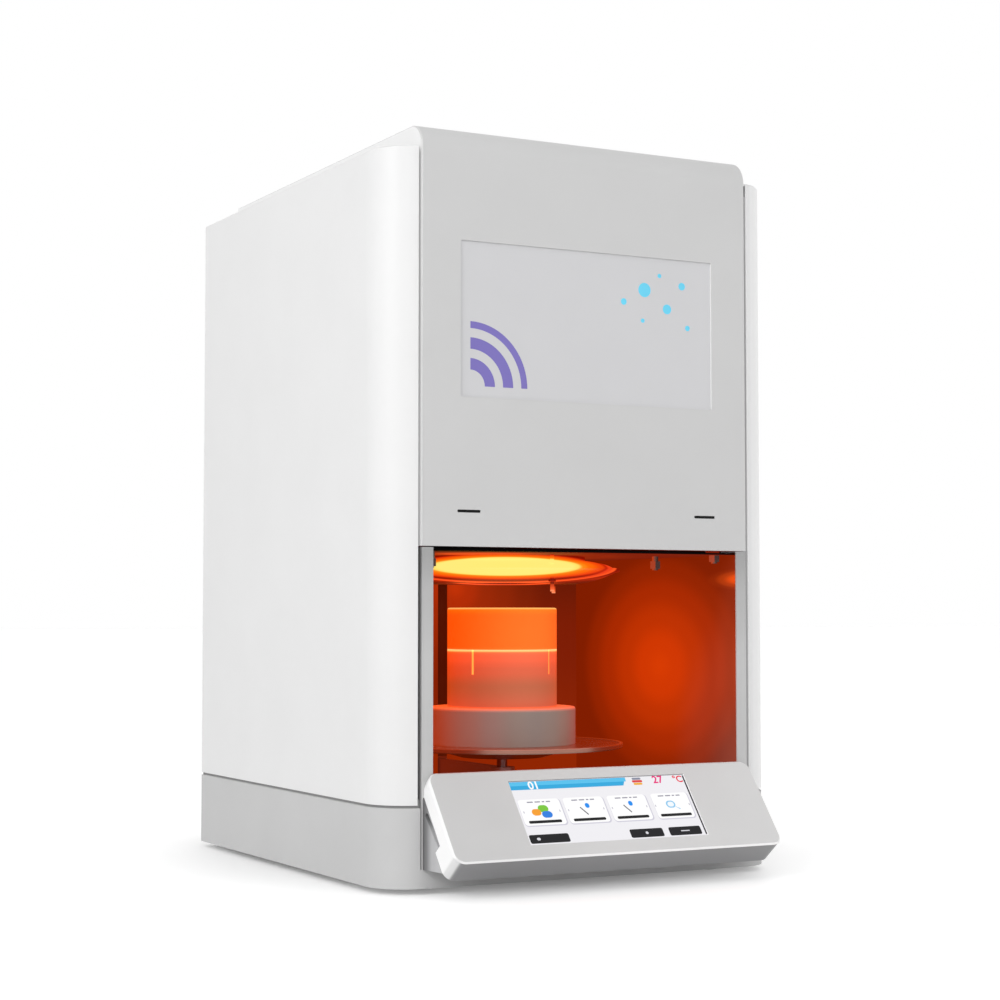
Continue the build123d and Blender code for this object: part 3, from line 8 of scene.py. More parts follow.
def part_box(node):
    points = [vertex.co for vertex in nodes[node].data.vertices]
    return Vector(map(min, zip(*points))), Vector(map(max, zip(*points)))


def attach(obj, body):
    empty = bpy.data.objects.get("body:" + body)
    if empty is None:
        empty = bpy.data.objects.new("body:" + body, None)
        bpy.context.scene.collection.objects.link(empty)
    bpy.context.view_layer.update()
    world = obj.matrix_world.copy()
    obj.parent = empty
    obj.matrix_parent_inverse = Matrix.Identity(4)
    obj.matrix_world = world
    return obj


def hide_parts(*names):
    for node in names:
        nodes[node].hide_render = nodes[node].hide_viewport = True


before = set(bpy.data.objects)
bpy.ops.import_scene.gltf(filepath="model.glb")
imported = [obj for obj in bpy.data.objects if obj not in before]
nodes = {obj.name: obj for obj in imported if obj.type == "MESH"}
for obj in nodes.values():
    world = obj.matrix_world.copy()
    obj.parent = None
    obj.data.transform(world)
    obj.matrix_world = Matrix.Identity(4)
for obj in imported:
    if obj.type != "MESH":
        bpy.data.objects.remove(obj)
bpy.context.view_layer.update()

mm = 0.001

# ---- Base tub ------------------------------------------------------------------------------
# The tub is one light grey structural-foam moulding that carries the sheet-metal cabinet. Its
# walls have the fine even grain of the mould, and its rim in the seam under the cabinet is
# darkened with painted shade.


def tone(code):
    """The linear colour of an RRGGBB code, as the shader sockets take it."""
    channels = [int(code[i : i + 2], 16) / 255 for i in (0, 2, 4)]
    return [c / 12.92 if c <= 0.04045 else ((c + 0.055) / 1.055) ** 2.4 for c in channels]


def finish(name, colour, rough, metal=0.0, grain=0.9 * mm, depth=0.03 * mm, cloud=0.02):
    """A satin finish: fine grain in the bump, faint unevenness of colour and gloss."""
    material = bpy.data.materials.new(name)
    material.use_nodes = True
    tree = material.node_tree
    shader = tree.nodes["Principled BSDF"]
    shader.inputs["Metallic"].default_value = metal
    shader.inputs["Emission Color"].default_value = (0, 0, 0, 1)
    place = tree.nodes.new("ShaderNodeTexCoord")
    fine = tree.nodes.new("ShaderNodeTexNoise")
    fine.inputs["Scale"].default_value = 1 / grain
    fine.inputs["Detail"].default_value = 3
    tree.links.new(place.outputs["Object"], fine.inputs["Vector"])
    bump = tree.nodes.new("ShaderNodeBump")
    bump.inputs["Strength"].default_value = 0.5
    bump.inputs["Distance"].default_value = depth
    tree.links.new(fine.outputs["Fac"], bump.inputs["Height"])
    tree.links.new(bump.outputs["Normal"], shader.inputs["Normal"])
    broad = tree.nodes.new("ShaderNodeTexNoise")
    broad.inputs["Scale"].default_value = 14
    broad.inputs["Detail"].default_value = 4
    tree.links.new(place.outputs["Object"], broad.inputs["Vector"])
    tint = tree.nodes.new("ShaderNodeValToRGB")
    tint.name = "tint"
    tint.color_ramp.elements[0].position = 0.3
    tint.color_ramp.elements[0].color = [c * (1 - cloud) for c in colour] + [1]
    tint.color_ramp.elements[1].position = 0.7
    tint.color_ramp.elements[1].color = [min(c * (1 + cloud), 1) for c in colour] + [1]
    tree.links.new(broad.outputs["Fac"], tint.inputs["Fac"])
    tree.links.new(tint.outputs["Color"], shader.inputs["Base Color"])
    gloss = tree.nodes.new("ShaderNodeMapRange")
    gloss.inputs["To Min"].default_value = rough - 0.04
    gloss.inputs["To Max"].default_value = rough + 0.04
    tree.links.new(broad.outputs["Fac"], gloss.inputs["Value"])
    tree.links.new(gloss.outputs["Result"], shader.inputs["Roughness"])
    return material


def colour_ramp(tree, value, stops):
    """A ramp of RRGGBB codes over a value, and its colour."""
    ramp = tree.nodes.new("ShaderNodeValToRGB")
    ramp.color_ramp.interpolation = "EASE"
    bands = ramp.color_ramp.elements
    while len(bands) < len(stops):
        bands.new(0.5)
    for band, (position, code) in zip(bands, stops):
        band.position = position
        band.color = tone(code) + [1]
    tree.links.new(value, ramp.inputs["Fac"])
    return ramp.outputs["Color"]


def blended(tree, mode, under, over):
    """Two colours, multiplied or added."""
    both = tree.nodes.new("ShaderNodeMix")
    both.data_type = "RGBA"
    both.blend_type = mode
    both.inputs["Factor"].default_value = 1
    tree.links.new(under, both.inputs["A"])
    tree.links.new(over, both.inputs["B"])
    return both.outputs["Result"]


def share_of(tree, start, end, radial=False, turn=0.0):
    """How far a point lies from start towards end.

    Radial, it runs outward from start, as far along each axis as end lies from it, and an axis
    without such a distance doesn't count. The axes may be turned about the vertical, in degrees.
    """
    place = tree.nodes.new("ShaderNodeTexCoord")
    reach = Vector(end) - Vector(start)
    offset = tree.nodes.new("ShaderNodeVectorMath")
    offset.operation = "SUBTRACT"
    offset.inputs[1].default_value = start
    tree.links.new(place.outputs["Object"], offset.inputs[0])
    measure = tree.nodes.new("ShaderNodeVectorMath")
    if radial:
        level = tree.nodes.new("ShaderNodeVectorRotate")
        level.rotation_type = "Z_AXIS"
        level.inputs["Angle"].default_value = math.radians(turn)
        tree.links.new(offset.outputs["Vector"], level.inputs["Vector"])
        scale = tree.nodes.new("ShaderNodeVectorMath")
        scale.operation = "MULTIPLY"
        scale.inputs[1].default_value = [1 / part if part else 0 for part in reach]
        tree.links.new(level.outputs["Vector"], scale.inputs[0])
        tree.links.new(scale.outputs["Vector"], measure.inputs[0])
        measure.operation = "LENGTH"
    else:
        tree.links.new(offset.outputs["Vector"], measure.inputs[0])
        measure.operation = "DOT_PRODUCT"
        measure.inputs[1].default_value = reach / reach.length_squared
    return measure.outputs["Value"]


def shade(material, start, end, stops, socket="Base Color"):
    """Multiplies a colour of a finish by a ramp from start to end: painted shade or light."""
    tree = material.node_tree
    base = tree.nodes["Principled BSDF"].inputs[socket]
    over = colour_ramp(tree, share_of(tree, start, end), stops)
    tree.links.new(blended(tree, "MULTIPLY", base.links[0].from_socket, over), base)


def mirror_share(material, share):
    """Sets how much a finish mirrors, where it is less than the usual half."""
    shader = material.node_tree.nodes["Principled BSDF"]
    shader.inputs["Specular IOR Level"].default_value = share


def dress(material, *names):
    """Puts one material on whole CAD nodes."""
    for name in names:
        mesh = nodes[name].data
        mesh.materials.clear()
        mesh.materials.append(material)


tub_grey = (0.56, 0.56, 0.56)
tub = finish("tub_moulding", tub_grey, 0.5, grain=0.7 * mm, depth=0.04 * mm)
seam_gap, seam_fade = 2.5 * mm, 0.5 * mm
lip_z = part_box("left_side_panel")[0].z - seam_gap
# Painted shade: the tub is darker above the lip, in the seam under the panels.
painted_seam_shade = ((0.0, "FFFFFF"), (1.0, "ACACAC"))
shade(tub, (0, 0, lip_z), (0, 0, lip_z + seam_fade), painted_seam_shade)
dress(tub, "base_tub")

# ---- Feet ----------------------------------------------------------------------------------
# Four soft black rubber feet under the corners of the tub. They are moulded with a fine grain and
# glued into its underside.

rubber_black = (0.02, 0.02, 0.02)
dress(finish("foot_rubber", rubber_black, 0.75, grain=0.5 * mm, depth=0.06 * mm), "rubber_feet")

# ---- Side panels ---------------------------------------------------------------------------
# Bent sheet steel with a near-white powder coat, which has the faint orange peel of its kind. The
# folded edges that face right and forwards have a painted highlight. The rear panel is coated
# alike.


def facing(material, direction, stops, socket="Base Color", mode="MULTIPLY"):
    """Paints shade or light by how a surface faces a direction: away is 0, straight along is 1."""
    tree = material.node_tree
    shader = tree.nodes["Principled BSDF"]
    surface = tree.nodes.new("ShaderNodeNewGeometry")
    along = tree.nodes.new("ShaderNodeVectorMath")
    along.operation = "DOT_PRODUCT"
    along.inputs[1].default_value = Vector(direction).normalized()
    tree.links.new(surface.outputs["Normal"], along.inputs[0])
    share = tree.nodes.new("ShaderNodeMapRange")
    share.inputs["From Min"].default_value = -1
    tree.links.new(along.outputs["Value"], share.inputs["Value"])
    colour = colour_ramp(tree, share.outputs["Result"], stops)
    target = shader.inputs[socket]
    if target.is_linked:
        colour = blended(tree, mode, target.links[0].from_socket, colour)
    tree.links.new(colour, target)


def painted_gleam(material, direction, stops):
    """Adds painted light to the surfaces that face a direction."""
    facing(material, direction, stops, "Emission Color", "ADD")
    material.node_tree.nodes["Principled BSDF"].inputs["Emission Strength"].default_value = 1


side_white = (0.81, 0.81, 0.81)
coat_grain = 1.6 * mm
fold_direction = (1, -1, 0)
# A painted highlight on the folded edges that face right and forwards.
painted_fold_highlight = ((0.0, "000000"), (0.93, "000000"), (0.97, "505050"), (1.0, "606060"))
side_coat = finish("side_coat", side_white, 0.42, grain=coat_grain, cloud=0.012)
painted_gleam(side_coat, fold_direction, painted_fold_highlight)
dress(side_coat, "left_side_panel", "rear_panel")
leftward = (-1, 0, 0)
# Painted light on faces that look left: on the right panel it lightens the inner return in the
# shadow gap, so that panel has its own copy of the coat.
painted_return_light = ((0.0, "000000"), (0.92, "000000"), (1.0, "848484"))
right_coat_painted_light = finish("right_side_coat_painted_light", side_white, 0.42, grain=coat_grain, cloud=0.012)
painted_gleam(right_coat_painted_light, fold_direction, painted_fold_highlight)
painted_gleam(right_coat_painted_light, leftward, painted_return_light)
dress(right_coat_painted_light, "right_side_panel")

# ---- Front and top cover -------------------------------------------------------------------
# One steel sheet bent over the front edge, in a greyer powder coat than the sides. It drops
# between them, with a narrow shadow gap on each side.

cover_grey = (0.62, 0.62, 0.62)
cover_coat = finish("cover_coat", cover_grey, 0.45, grain=coat_grain, cloud=0.012)
# The cover's faces that look left get the same painted light.
painted_gleam(cover_coat, leftward, painted_return_light)
dress(cover_coat, "front_top_cover")

# ---- Name plate and its print --------------------------------------------------------------
# A lacquered sheet behind the window of the cover. The print is generic: violet quarter rings in
# the lower left corner and a scatter of cyan dots in the upper right.


def solid(name, bm, material, body):
    """Makes one finished piece of a bmesh that is already in place, riding on a CAD body."""
    mesh = bpy.data.meshes.new(name)
    bmesh.ops.recalc_face_normals(bm, faces=bm.faces)
    bm.to_mesh(mesh)
    bm.free()
    piece = bpy.data.objects.new(name, mesh)
    bpy.context.scene.collection.objects.link(piece)
    mesh.materials.append(material)
    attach(piece, body)
    return piece


def rounded(width, height, radius, steps=8):
    """Corner points of a rectangle with round corners, about its middle."""
    points = []
    for quarter in range(4):
        across = (width / 2 - radius) * (1 if quarter in (0, 3) else -1)
        along = (height / 2 - radius) * (1 if quarter in (0, 1) else -1)
        for step in range(steps + 1):
            angle = math.radians(90 * (quarter + step / steps))
            points.append((across + radius * math.cos(angle), along + radius * math.sin(angle)))
    return points


def slab(bm, outline, place, thickness):
    """Adds a flat prism on a plane: outline in its x and y, thickness along its z."""
    base = bm.faces.new([bm.verts.new(place @ Vector((x, y, 0))) for x, y in outline])
    raised = bmesh.ops.extrude_face_region(bm, geom=[base])
    rise = place.to_3x3() @ Vector((0, 0, thickness))
    moved = [item for item in raised["geom"] if isinstance(item, bmesh.types.BMVert)]
    bmesh.ops.translate(bm, verts=moved, vec=rise)


dress(finish("plate_lacquer", tone("D2D2D4"), 0.35, grain=1.2 * mm, cloud=0.01), "name_plate")

plate_low, plate_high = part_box("name_plate")
plate_mid = (plate_low + plate_high) / 2
plate_face = Matrix((
    (1, 0, 0, plate_mid.x),
    (0, 0, -1, plate_low.y),
    (0, 1, 0, plate_mid.z),
    (0, 0, 0, 1),
))
ink = 0.06 * mm
corner_x, corner_y = -119 * mm, -58 * mm
ring_bands = ((14 * mm, 24 * mm), (32 * mm, 42 * mm), (50 * mm, 56 * mm))
ring_steps = 24
bm = bmesh.new()
for inner, outer in ring_bands:
    turns = [math.radians(90 * step / ring_steps) for step in range(ring_steps + 1)]
    there_and_back = [(outer, turn) for turn in turns] + [(inner, turn) for turn in reversed(turns)]
    outline = [
        (corner_x + radius * math.cos(turn), corner_y + radius * math.sin(turn))
        for radius, turn in there_and_back
    ]
    slab(bm, outline, plate_face, ink)
solid("plate_rings", bm, finish("violet_ink", tone("7B70BC"), 0.4), "cabinet")

# Each dot's place across and up, and its diameter, in millimetres.
dots = (
    (58, 38, 13), (82, 22, 9), (98, 44, 7), (36, 26, 6), (74, 52, 4), (104, 6, 5), (56, 10, 4),
)
bm = bmesh.new()
for x, y, diameter in dots:
    place = plate_face @ Matrix.Translation((x * mm, y * mm, 0))
    size = diameter * mm
    slab(bm, rounded(size, size, size / 2, steps=10), place, ink)
solid("plate_dots", bm, finish("cyan_ink", tone("6AD8F8"), 0.4), "cabinet")

# ---- Slot lenses ---------------------------------------------------------------------------
# Two smooth black acrylic lenses that fill the narrow slots near the cover's lower edge. They
# are pressed in from behind.

lens_black = (0.004, 0.004, 0.004)
lens = finish("black_lens", lens_black, 0.4, depth=0.005 * mm)
mirror_share(lens, 0.15)
dress(lens, "slot_inserts")

# ---- Portal --------------------------------------------------------------------------------
# The jambs beside the loading bay and the sill below it, folded from one steel sheet in a greyer
# coat. The tops of the jambs carry painted shade of the cover above.

portal_grey = (0.56, 0.56, 0.56)
portal_coat = finish("portal_coat", portal_grey, 0.45, grain=coat_grain)
jamb_top, shade_foot = 292 * mm, 150 * mm
# Painted shade, darkest at the tops of the jambs under the cover.
painted_cover_shade = ((0.0, "D4D4D4"), (0.3, "F0F0F0"), (0.7, "FFFFFF"))
shade(portal_coat, (0, 0, jamb_top), (0, 0, shade_foot), painted_cover_shade)
dress(portal_coat, "front_portal")

# ---- Loading bay ---------------------------------------------------------------------------
# Sheet walls, floor and ceiling in heat-resistant enamel. The orange light of the open mouth
# above the table is painted on them, as a glow that fades from a broad bright field on each side
# wall towards the corners.


def painted_glow(material, start, end, stops, radial=False, turn=0.0):
    """Adds painted light: a glow whose colours run from start to end."""
    tree = material.node_tree
    shader = tree.nodes["Principled BSDF"]
    shader.inputs["Emission Strength"].default_value = 1
    glow = shader.inputs["Emission Color"]
    colour = colour_ramp(tree, share_of(tree, start, end, radial, turn), stops)
    if glow.is_linked:
        colour = blended(tree, "ADD", glow.links[0].from_socket, colour)
    tree.links.new(colour, glow)


def enamel(name):
    """Dark enamel. It reflects little, so that the painted glow on it keeps its colour."""
    material = finish(name, tone("3A1406"), 0.6, grain=1.4 * mm)
    mirror_share(material, 0.15)
    return material


# The load stands on a vertical line, under the middle of the mouth.
collar_low, collar_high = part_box("mouth_collar")
stack = (collar_low + collar_high) / 2
stack.z = 0

# Patches of painted light on a side wall: the broad bright field, a glint near its top front
# edge and two fainter patches near the front. Each has its middle and its reach, both in y and z
# and in millimetres, and its colours from the middle outwards.
side_patches = (
    (
        (-66, 185),
        (150, 112),
        (
            (0.0, "D33A00"), (0.2, "CC3600"), (0.42, "B93000"),
            (0.65, "A42800"), (0.85, "8E2200"), (1.0, "7C1C00"),
        ),
    ),
    (
        (-212, 267.5),
        (66, 11),
        ((0.0, "E85810"), (0.3, "C84408"), (0.6, "7A2A06"), (0.82, "340E02"), (1.0, "000000")),
    ),
    ((-205, 190), (52, 125), ((0.0, "5A2410"), (0.5, "3A140A"), (1.0, "000000"))),
    ((-190, 90), (110, 160), ((0.0, "1C302C"), (0.5, "0A1814"), (1.0, "000000"))),
)
wall_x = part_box("bay_right_wall")[0].x
for side, name in ((1, "bay_right_wall"), (-1, "bay_left_wall")):
    sheet = enamel(name)
    for (y, z), (reach_y, reach_z), stops in side_patches:
        middle = Vector((side * wall_x, y * mm, z * mm))
        reach = Vector((0, reach_y * mm, reach_z * mm))
        painted_glow(sheet, middle, middle + reach, stops, radial=True)
    dress(sheet, name)

bay_low, bay_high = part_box("bay_rear_wall")
rear_top = (0, bay_low.y, bay_high.z)
rear_foot = (0, bay_low.y, bay_low.z)
# The rear wall gets a painted glow that grows towards the floor, and a painted patch of the mouth's
# light near its top.
rear_stops = ((0.0, "5E1604"), (0.35, "781B03"), (1.0, "8E2502"))
rear = enamel("bay_rear_wall")
painted_glow(rear, rear_top, rear_foot, rear_stops)
bounce = Vector((14 * mm, 0, 262 * mm))
bounce_reach = Vector((108 * mm, 0, 100 * mm))
bounce_stops = (
    (0.0, "A32600"), (0.16, "8A1E00"), (0.32, "6C1800"),
    (0.52, "5A1400"), (0.74, "3A0C00"), (1.0, "000000"),
)
painted_glow(rear, bounce, bounce + bounce_reach, bounce_stops, radial=True)
dress(rear, "bay_rear_wall")

ceiling_low, ceiling_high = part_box("bay_ceiling")
ceiling = enamel("bay_ceiling")
mirror_share(ceiling, 0.03)
# A painted glow round the mouth and a painted pool of light at the front left.
mouth = Vector((0, stack.y, ceiling_low.z))
ceiling_reach = Vector((ceiling_high.x, ceiling_high.x, 0))
ceiling_stops = ((0.0, "C04010"), (0.45, "8A280C"), (1.0, "741C0A"))
painted_glow(ceiling, mouth, mouth + ceiling_reach, ceiling_stops, radial=True)
lit_part = Vector((-64 * mm, -116 * mm, ceiling_low.z))
lit_reach = Vector((66 * mm, 60 * mm, 0))
lit_stops = ((0.0, "C83400"), (0.5, "BC2C00"), (0.75, "701400"), (1.0, "000000"))
painted_glow(ceiling, lit_part, lit_part + lit_reach, lit_stops, radial=True)
# A painted shadow along a line near the front, and painted shade on the faces that look forward.
shadow = Vector((-118 * mm, -177 * mm, ceiling_low.z))
shadow_reach = Vector((3.8 * mm, 15.5 * mm, 0))
shadow_stops = ((0.0, "121212"), (0.2, "1C1C1C"), (1.0, "FFFFFF"))
painted_front_shade = ((0.0, "FFFFFF"), (0.7, "FFFFFF"), (0.9, "303030"), (1.0, "202020"))
forward = (0, -1, 0)
for socket in ("Base Color", "Emission Color"):
    facing(ceiling, forward, painted_front_shade, socket)
    shade(ceiling, shadow, shadow + shadow_reach, shadow_stops, socket)
dress(ceiling, "bay_ceiling")

floor_low, floor_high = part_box("bay_floor")
floor_front = (0, floor_low.y, floor_high.z)
floor_back = (0, floor_high.y, floor_high.z)
# The bay floor gets a painted glow, brighter at the front.
floor_stops = ((0.0, "8A2602"), (1.0, "6C1A02"))
bay_floor = enamel("bay_floor")
painted_glow(bay_floor, floor_front, floor_back, floor_stops)
dress(bay_floor, "bay_floor")

# ---- Mouth of the muffle -------------------------------------------------------------------
# The alumina collar carries a painted yellow glow. Round it hangs the hollow ring of
# heat-resistant steel on three rods. It is spun of two sheets, dished below and domed above,
# with a rolled rim between. An oval of painted light runs over collar, ring and rods; the rim has
# a painted highlight and the tips of the rods a painted glow.

# Points closer than the weld are one point, and lengths within a hair are equal.
weld, hair = 0.001 * mm, 0.01 * mm


def turned(name, outline, soft, material, body, replaces):
    """A turned piece: an outline of radius and height, spun about the stack axis.

    soft gives the edge radius of each corner that is rounded, by its place in the outline.
    """
    crease = math.radians(30)
    bm = bmesh.new()
    ring = [bm.verts.new((stack.x + radius, stack.y, height)) for radius, height in outline]
    edges = [bm.edges.new(pair) for pair in zip(ring, ring[1:] + ring[:1])]
    bmesh.ops.spin(
        bm,
        geom=ring + edges,
        cent=stack,
        axis=(0, 0, 1),
        angle=math.tau,
        steps=160,
        use_merge=True,
        use_duplicate=False,
    )
    bmesh.ops.remove_doubles(bm, verts=bm.verts, dist=weld)
    for corner, radius in soft.items():
        far, height = outline[corner]
        edge = [
            e for e in bm.edges
            if all(abs(v.co.z - height) < hair for v in e.verts)
            and all(abs((v.co - stack).xy.length - far) < hair for v in e.verts)
        ]
        bmesh.ops.bevel(
            bm,
            geom=edge,
            offset=radius,
            offset_type="OFFSET",
            segments=5,
            profile=0.5,
            affect="EDGES",
            material=-1,
        )
    for face in bm.faces:
        face.smooth = True
    bm.normal_update()
    for edge in bm.edges:
        if len(edge.link_faces) == 2 and edge.calc_face_angle() > crease:
            edge.smooth = False
    piece = solid(name, bm, material, body)
    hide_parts(replaces)


halo_turn = 28.1
halo_middle = Vector((-36.6 * mm, -104.7 * mm, 279 * mm))
halo_reach = Vector((140 * mm, 0, 17.6 * mm))
halo_stops = (
    (0.0, "FFEC78"), (0.44, "FFEC7C"), (0.475, "FFE46A"), (0.515, "FF8A14"),
    (0.56, "FE6C06"), (0.64, "EE4608"), (0.68, "B81C04"), (0.72, "7C0C00"),
    (0.77, "7C0C00"), (0.84, "A42206"), (0.92, "6A1402"), (1.0, "4A0E02"),
)


def halo(material, reach=halo_reach, stops=halo_stops):
    """The painted oval of light round the mouth, which runs on from one piece to the next."""
    painted_glow(material, halo_middle, halo_middle + reach, stops, radial=True, turn=halo_turn)


# The collar's glow is painted light, part of the oval round the mouth.
collar_glow = finish("collar_glow", tone("301808"), 0.6, grain=2.0 * mm)
mirror_share(collar_glow, 0.1)
halo(collar_glow)
dress(collar_glow, "mouth_collar")

ring_steel = finish("ring_steel", tone("2C0E04"), 0.5, grain=0.8 * mm)
halo(ring_steel)
rim_reach = Vector((105.5 * mm, 0, 15.2 * mm))
# A painted highlight on the rolled rim.
painted_rim_highlight = (
    (0.0, "000000"), (0.89, "000000"), (0.93, "C83C18"),
    (0.98, "E85420"), (1.0, "A83410"), (1.0, "000000"),
)
halo(ring_steel, rim_reach, painted_rim_highlight)
ring_low, ring_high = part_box("mouth_ring")
ring_radius = ring_high.x
bore_radius = 72.5 * mm
seat_radius = collar_high.x + 0.4 * mm
bead = 1.6 * mm
rim_top = ring_high.z + 6 * mm
turned(
    "mouth_ring_dished",
    (
        (bore_radius, ring_low.z + 1.0 * mm),
        (bore_radius + 10 * mm, ring_low.z + 2.4 * mm),
        (ring_radius - 20 * mm, ring_low.z + 5.0 * mm),
        (ring_radius - 11 * mm, ring_low.z + 8.4 * mm),
        (ring_radius - 2 * bead, rim_top - 2.4 * bead),
        (ring_radius, rim_top - 2 * bead),
        (ring_radius, rim_top),
        (ring_radius - 2 * bead, rim_top),
        (ring_radius - 4.4 * mm, rim_top - 0.8 * mm),
        (ring_radius - 6.4 * mm, rim_top + 0.4 * mm),
        (ring_radius - 9 * mm, rim_top + 2.0 * mm),
        (ring_radius - 14 * mm, rim_top + 3.8 * mm),
        (ring_radius - 22 * mm, rim_top + 5.6 * mm),
        (seat_radius, rim_top + 7.2 * mm),
        (seat_radius, ring_high.z),
        (bore_radius, ring_high.z),
    ),
    {
        2: 4 * mm, 3: 4 * mm, 5: bead * 0.5, 6: bead * 0.9, 7: bead * 0.5,
        10: 2 * mm, 11: 3 * mm, 12: 4 * mm,
    },
    ring_steel,
    "cabinet",
    "mouth_ring",
)

hanger_steel = finish("hanger_steel", tone("0C0402"), 0.6, grain=0.5 * mm, cloud=0.1)
mirror_share(hanger_steel, 0.1)
halo(hanger_steel)
tip_start, tip_end = 264 * mm, 257 * mm
# A painted glow at the lower tips of the rods.
painted_tip_glow = ((0.0, "000000"), (0.3, "C84018"), (0.8, "F06030"), (1.0, "FF9060"))
painted_glow(hanger_steel, (0, 0, tip_start), (0, 0, tip_end), painted_tip_glow)
dress(hanger_steel, "ring_hangers")

# ---- Ceiling studs -------------------------------------------------------------------------
# Steel studs that hold the muffle and the ceiling, each with a hexagon nut near its lower end. The
# nuts and the left flanks carry painted light of the bay.

stud_steel = finish("stud_steel", tone("3A2A26"), 0.5, grain=0.5 * mm, cloud=0.1)
# Painted light on the faces that look left.
stud_light = ((0.0, "1E1210"), (0.5, "302422"), (0.8, "6A3424"), (1.0, "B03812"))
painted_gleam(stud_steel, leftward, stud_light)
stud_low, stud_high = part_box("ceiling_studs")
stud_foot_radius, stud_radius = 2.8 * mm, 3.0 * mm
nut_radius, nut_height, nut_rise = 5.2 * mm, 7 * mm, 1.4 * mm
corners = [math.radians(60 * step) for step in range(6)]
nut = [(nut_radius * math.cos(corner), nut_radius * math.sin(corner)) for corner in corners]
# Each stud's place beside the middle and from the front, and how much shorter it hangs.
stud_places = (
    (118 * mm, stack.y - 86 * mm, 0),
    (118 * mm, stack.y + 86 * mm, 0),
    (147 * mm, stud_low.y + 4.9 * mm, 5.5 * mm),
)
bm = bmesh.new()
for side in (-1, 1):
    for x, y, rise in stud_places:
        foot = Vector((side * x, y, stud_low.z + rise))
        length = stud_high.z - foot.z
        bmesh.ops.create_cone(
            bm,
            cap_ends=True,
            segments=24,
            radius1=stud_foot_radius,
            radius2=stud_radius,
            depth=length,
            matrix=Matrix.Translation(foot + Vector((0, 0, length / 2))),
        )
        slab(bm, nut, Matrix.Translation(foot + Vector((0, 0, nut_rise))), nut_height)
studs = solid("stud_nuts", bm, stud_steel, "cabinet")
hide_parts("ceiling_studs")

# ---- Load on the table ---------------------------------------------------------------------
# The grey fibre block, the mullite crucible and its lid, which stand loose on one another. What is
# near the mouth has painted orange light, and a painted glow shows in the seam and the slots.

block_low, block_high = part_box("insulation_block")
block_radius = block_high.x
lid_low, lid_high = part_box("crucible_lid")
lid_radius = lid_high.x
pot_low, pot_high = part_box("crucible")
# The direction from the load's left flank to its right one, seen from the front left.
across = Vector((0.882, -0.471, 0))


def ceramic(name, code):
    """Fired ceramic: dull, with an open grain."""
    return finish(name, tone(code), 0.85, grain=0.8 * mm, depth=0.08 * mm, cloud=0.05)


def up_the_stack(material, low, high, stops):
    """A painted glow that changes with the height, on a piece of the load or the table."""
    painted_glow(material, (0, stack.y, low), (0, stack.y, high), stops)


fibre = finish("block_fibre", tone("8A918C"), 0.9, grain=1.1 * mm, depth=0.12 * mm, cloud=0.06)
# Painted light of the bay on the block: orange towards its flanks, greyer in the middle.
fibre_stops = (
    (0.05, "942800"), (0.28, "7A2D1C"), (0.42, "6C352E"), (0.6, "5A342A"),
    (0.72, "502A24"), (0.84, "582D20"), (0.91, "662C18"), (1.0, "802618"),
)
painted_glow(fibre, stack - across * block_radius, stack + across * block_radius, fibre_stops)
block_edge = 3 * mm
# A painted highlight along its top edge.
block_edge_stops = ((0.0, "000000"), (0.5, "8A2C0C"), (1.0, "E8501A"))
up_the_stack(fibre, block_high.z - block_edge, block_high.z, block_edge_stops)
turned(
    "insulation_block_fibre",
    (
        (0, block_low.z),
        (block_radius, block_low.z),
        (block_radius, block_high.z),
        (0, block_high.z),
    ),
    {1: 0.8 * mm, 2: 2.0 * mm},
    fibre,
    "lift",
    "insulation_block",
)

mullite = ceramic("crucible_mullite", "B0785E")
# A painted glow up the crucible: light at its foot, brightest at the seam under the lid.
pot_stops = (
    (0.0, "E04A1C"), (0.04, "943014"), (0.35, "88340E"), (0.65, "BC340C"),
    (0.9, "E64010"), (0.955, "F05418"), (0.975, "FFB860"), (1.0, "FFD488"),
)
up_the_stack(mullite, pot_low.z, pot_high.z, pot_stops)
# Painted light of the bay on its flanks.
flank_stops = (
    (0.0, "6A2004"), (0.12, "481404"), (0.3, "000000"), (0.9, "000000"), (1.0, "401806"),
)
painted_glow(mullite, stack - across * lid_radius, stack + across * lid_radius, flank_stops)
# A painted glow on its inside, which shows in the slots.
inside_edge = stack + Vector((lid_radius, lid_radius, 0))
inside_stops = ((0.0, "FF9A40"), (0.98, "FF9A40"), (0.992, "000000"))
painted_glow(mullite, stack, inside_edge, inside_stops, radial=True)
dress(mullite, "crucible")

# The lid is of the same mullite; its warmer base tone and its glow are painted light of the mouth.
lid_mullite_painted_light = ceramic("lid_mullite_painted_light", "C07424")
lid_stops = ((0.0, "F04C00"), (0.5, "F25614"), (1.0, "F05A1E"))
lid_across = Vector((lid_radius, lid_radius / 2, 0))
painted_glow(lid_mullite_painted_light, stack - lid_across, stack + lid_across, lid_stops)
register_z = pot_high.z
# A painted glow at the seam above the crucible and a painted highlight along the top edge.
lid_edge_stops = (
    (0.0, "805030"), (0.03, "402008"), (0.06, "000000"), (0.82, "000000"),
    (0.92, "283400"), (0.955, "284000"), (0.975, "50A05E"), (1.0, "50A05E"),
)
up_the_stack(lid_mullite_painted_light, register_z, lid_high.z, lid_edge_stops)
register_radius = 46.6 * mm
hollow_radius = 41.6 * mm
roof_z = lid_high.z - 7 * mm
turned(
    "crucible_lid_cast",
    (
        (hollow_radius, lid_low.z),
        (register_radius, lid_low.z),
        (register_radius, register_z),
        (lid_radius, register_z),
        (lid_radius, lid_high.z),
        (0, lid_high.z),
        (0, roof_z),
        (hollow_radius, roof_z),
    ),
    {3: 0.7 * mm, 4: 2.0 * mm},
    lid_mullite_painted_light,
    "lid",
    "crucible_lid",
)

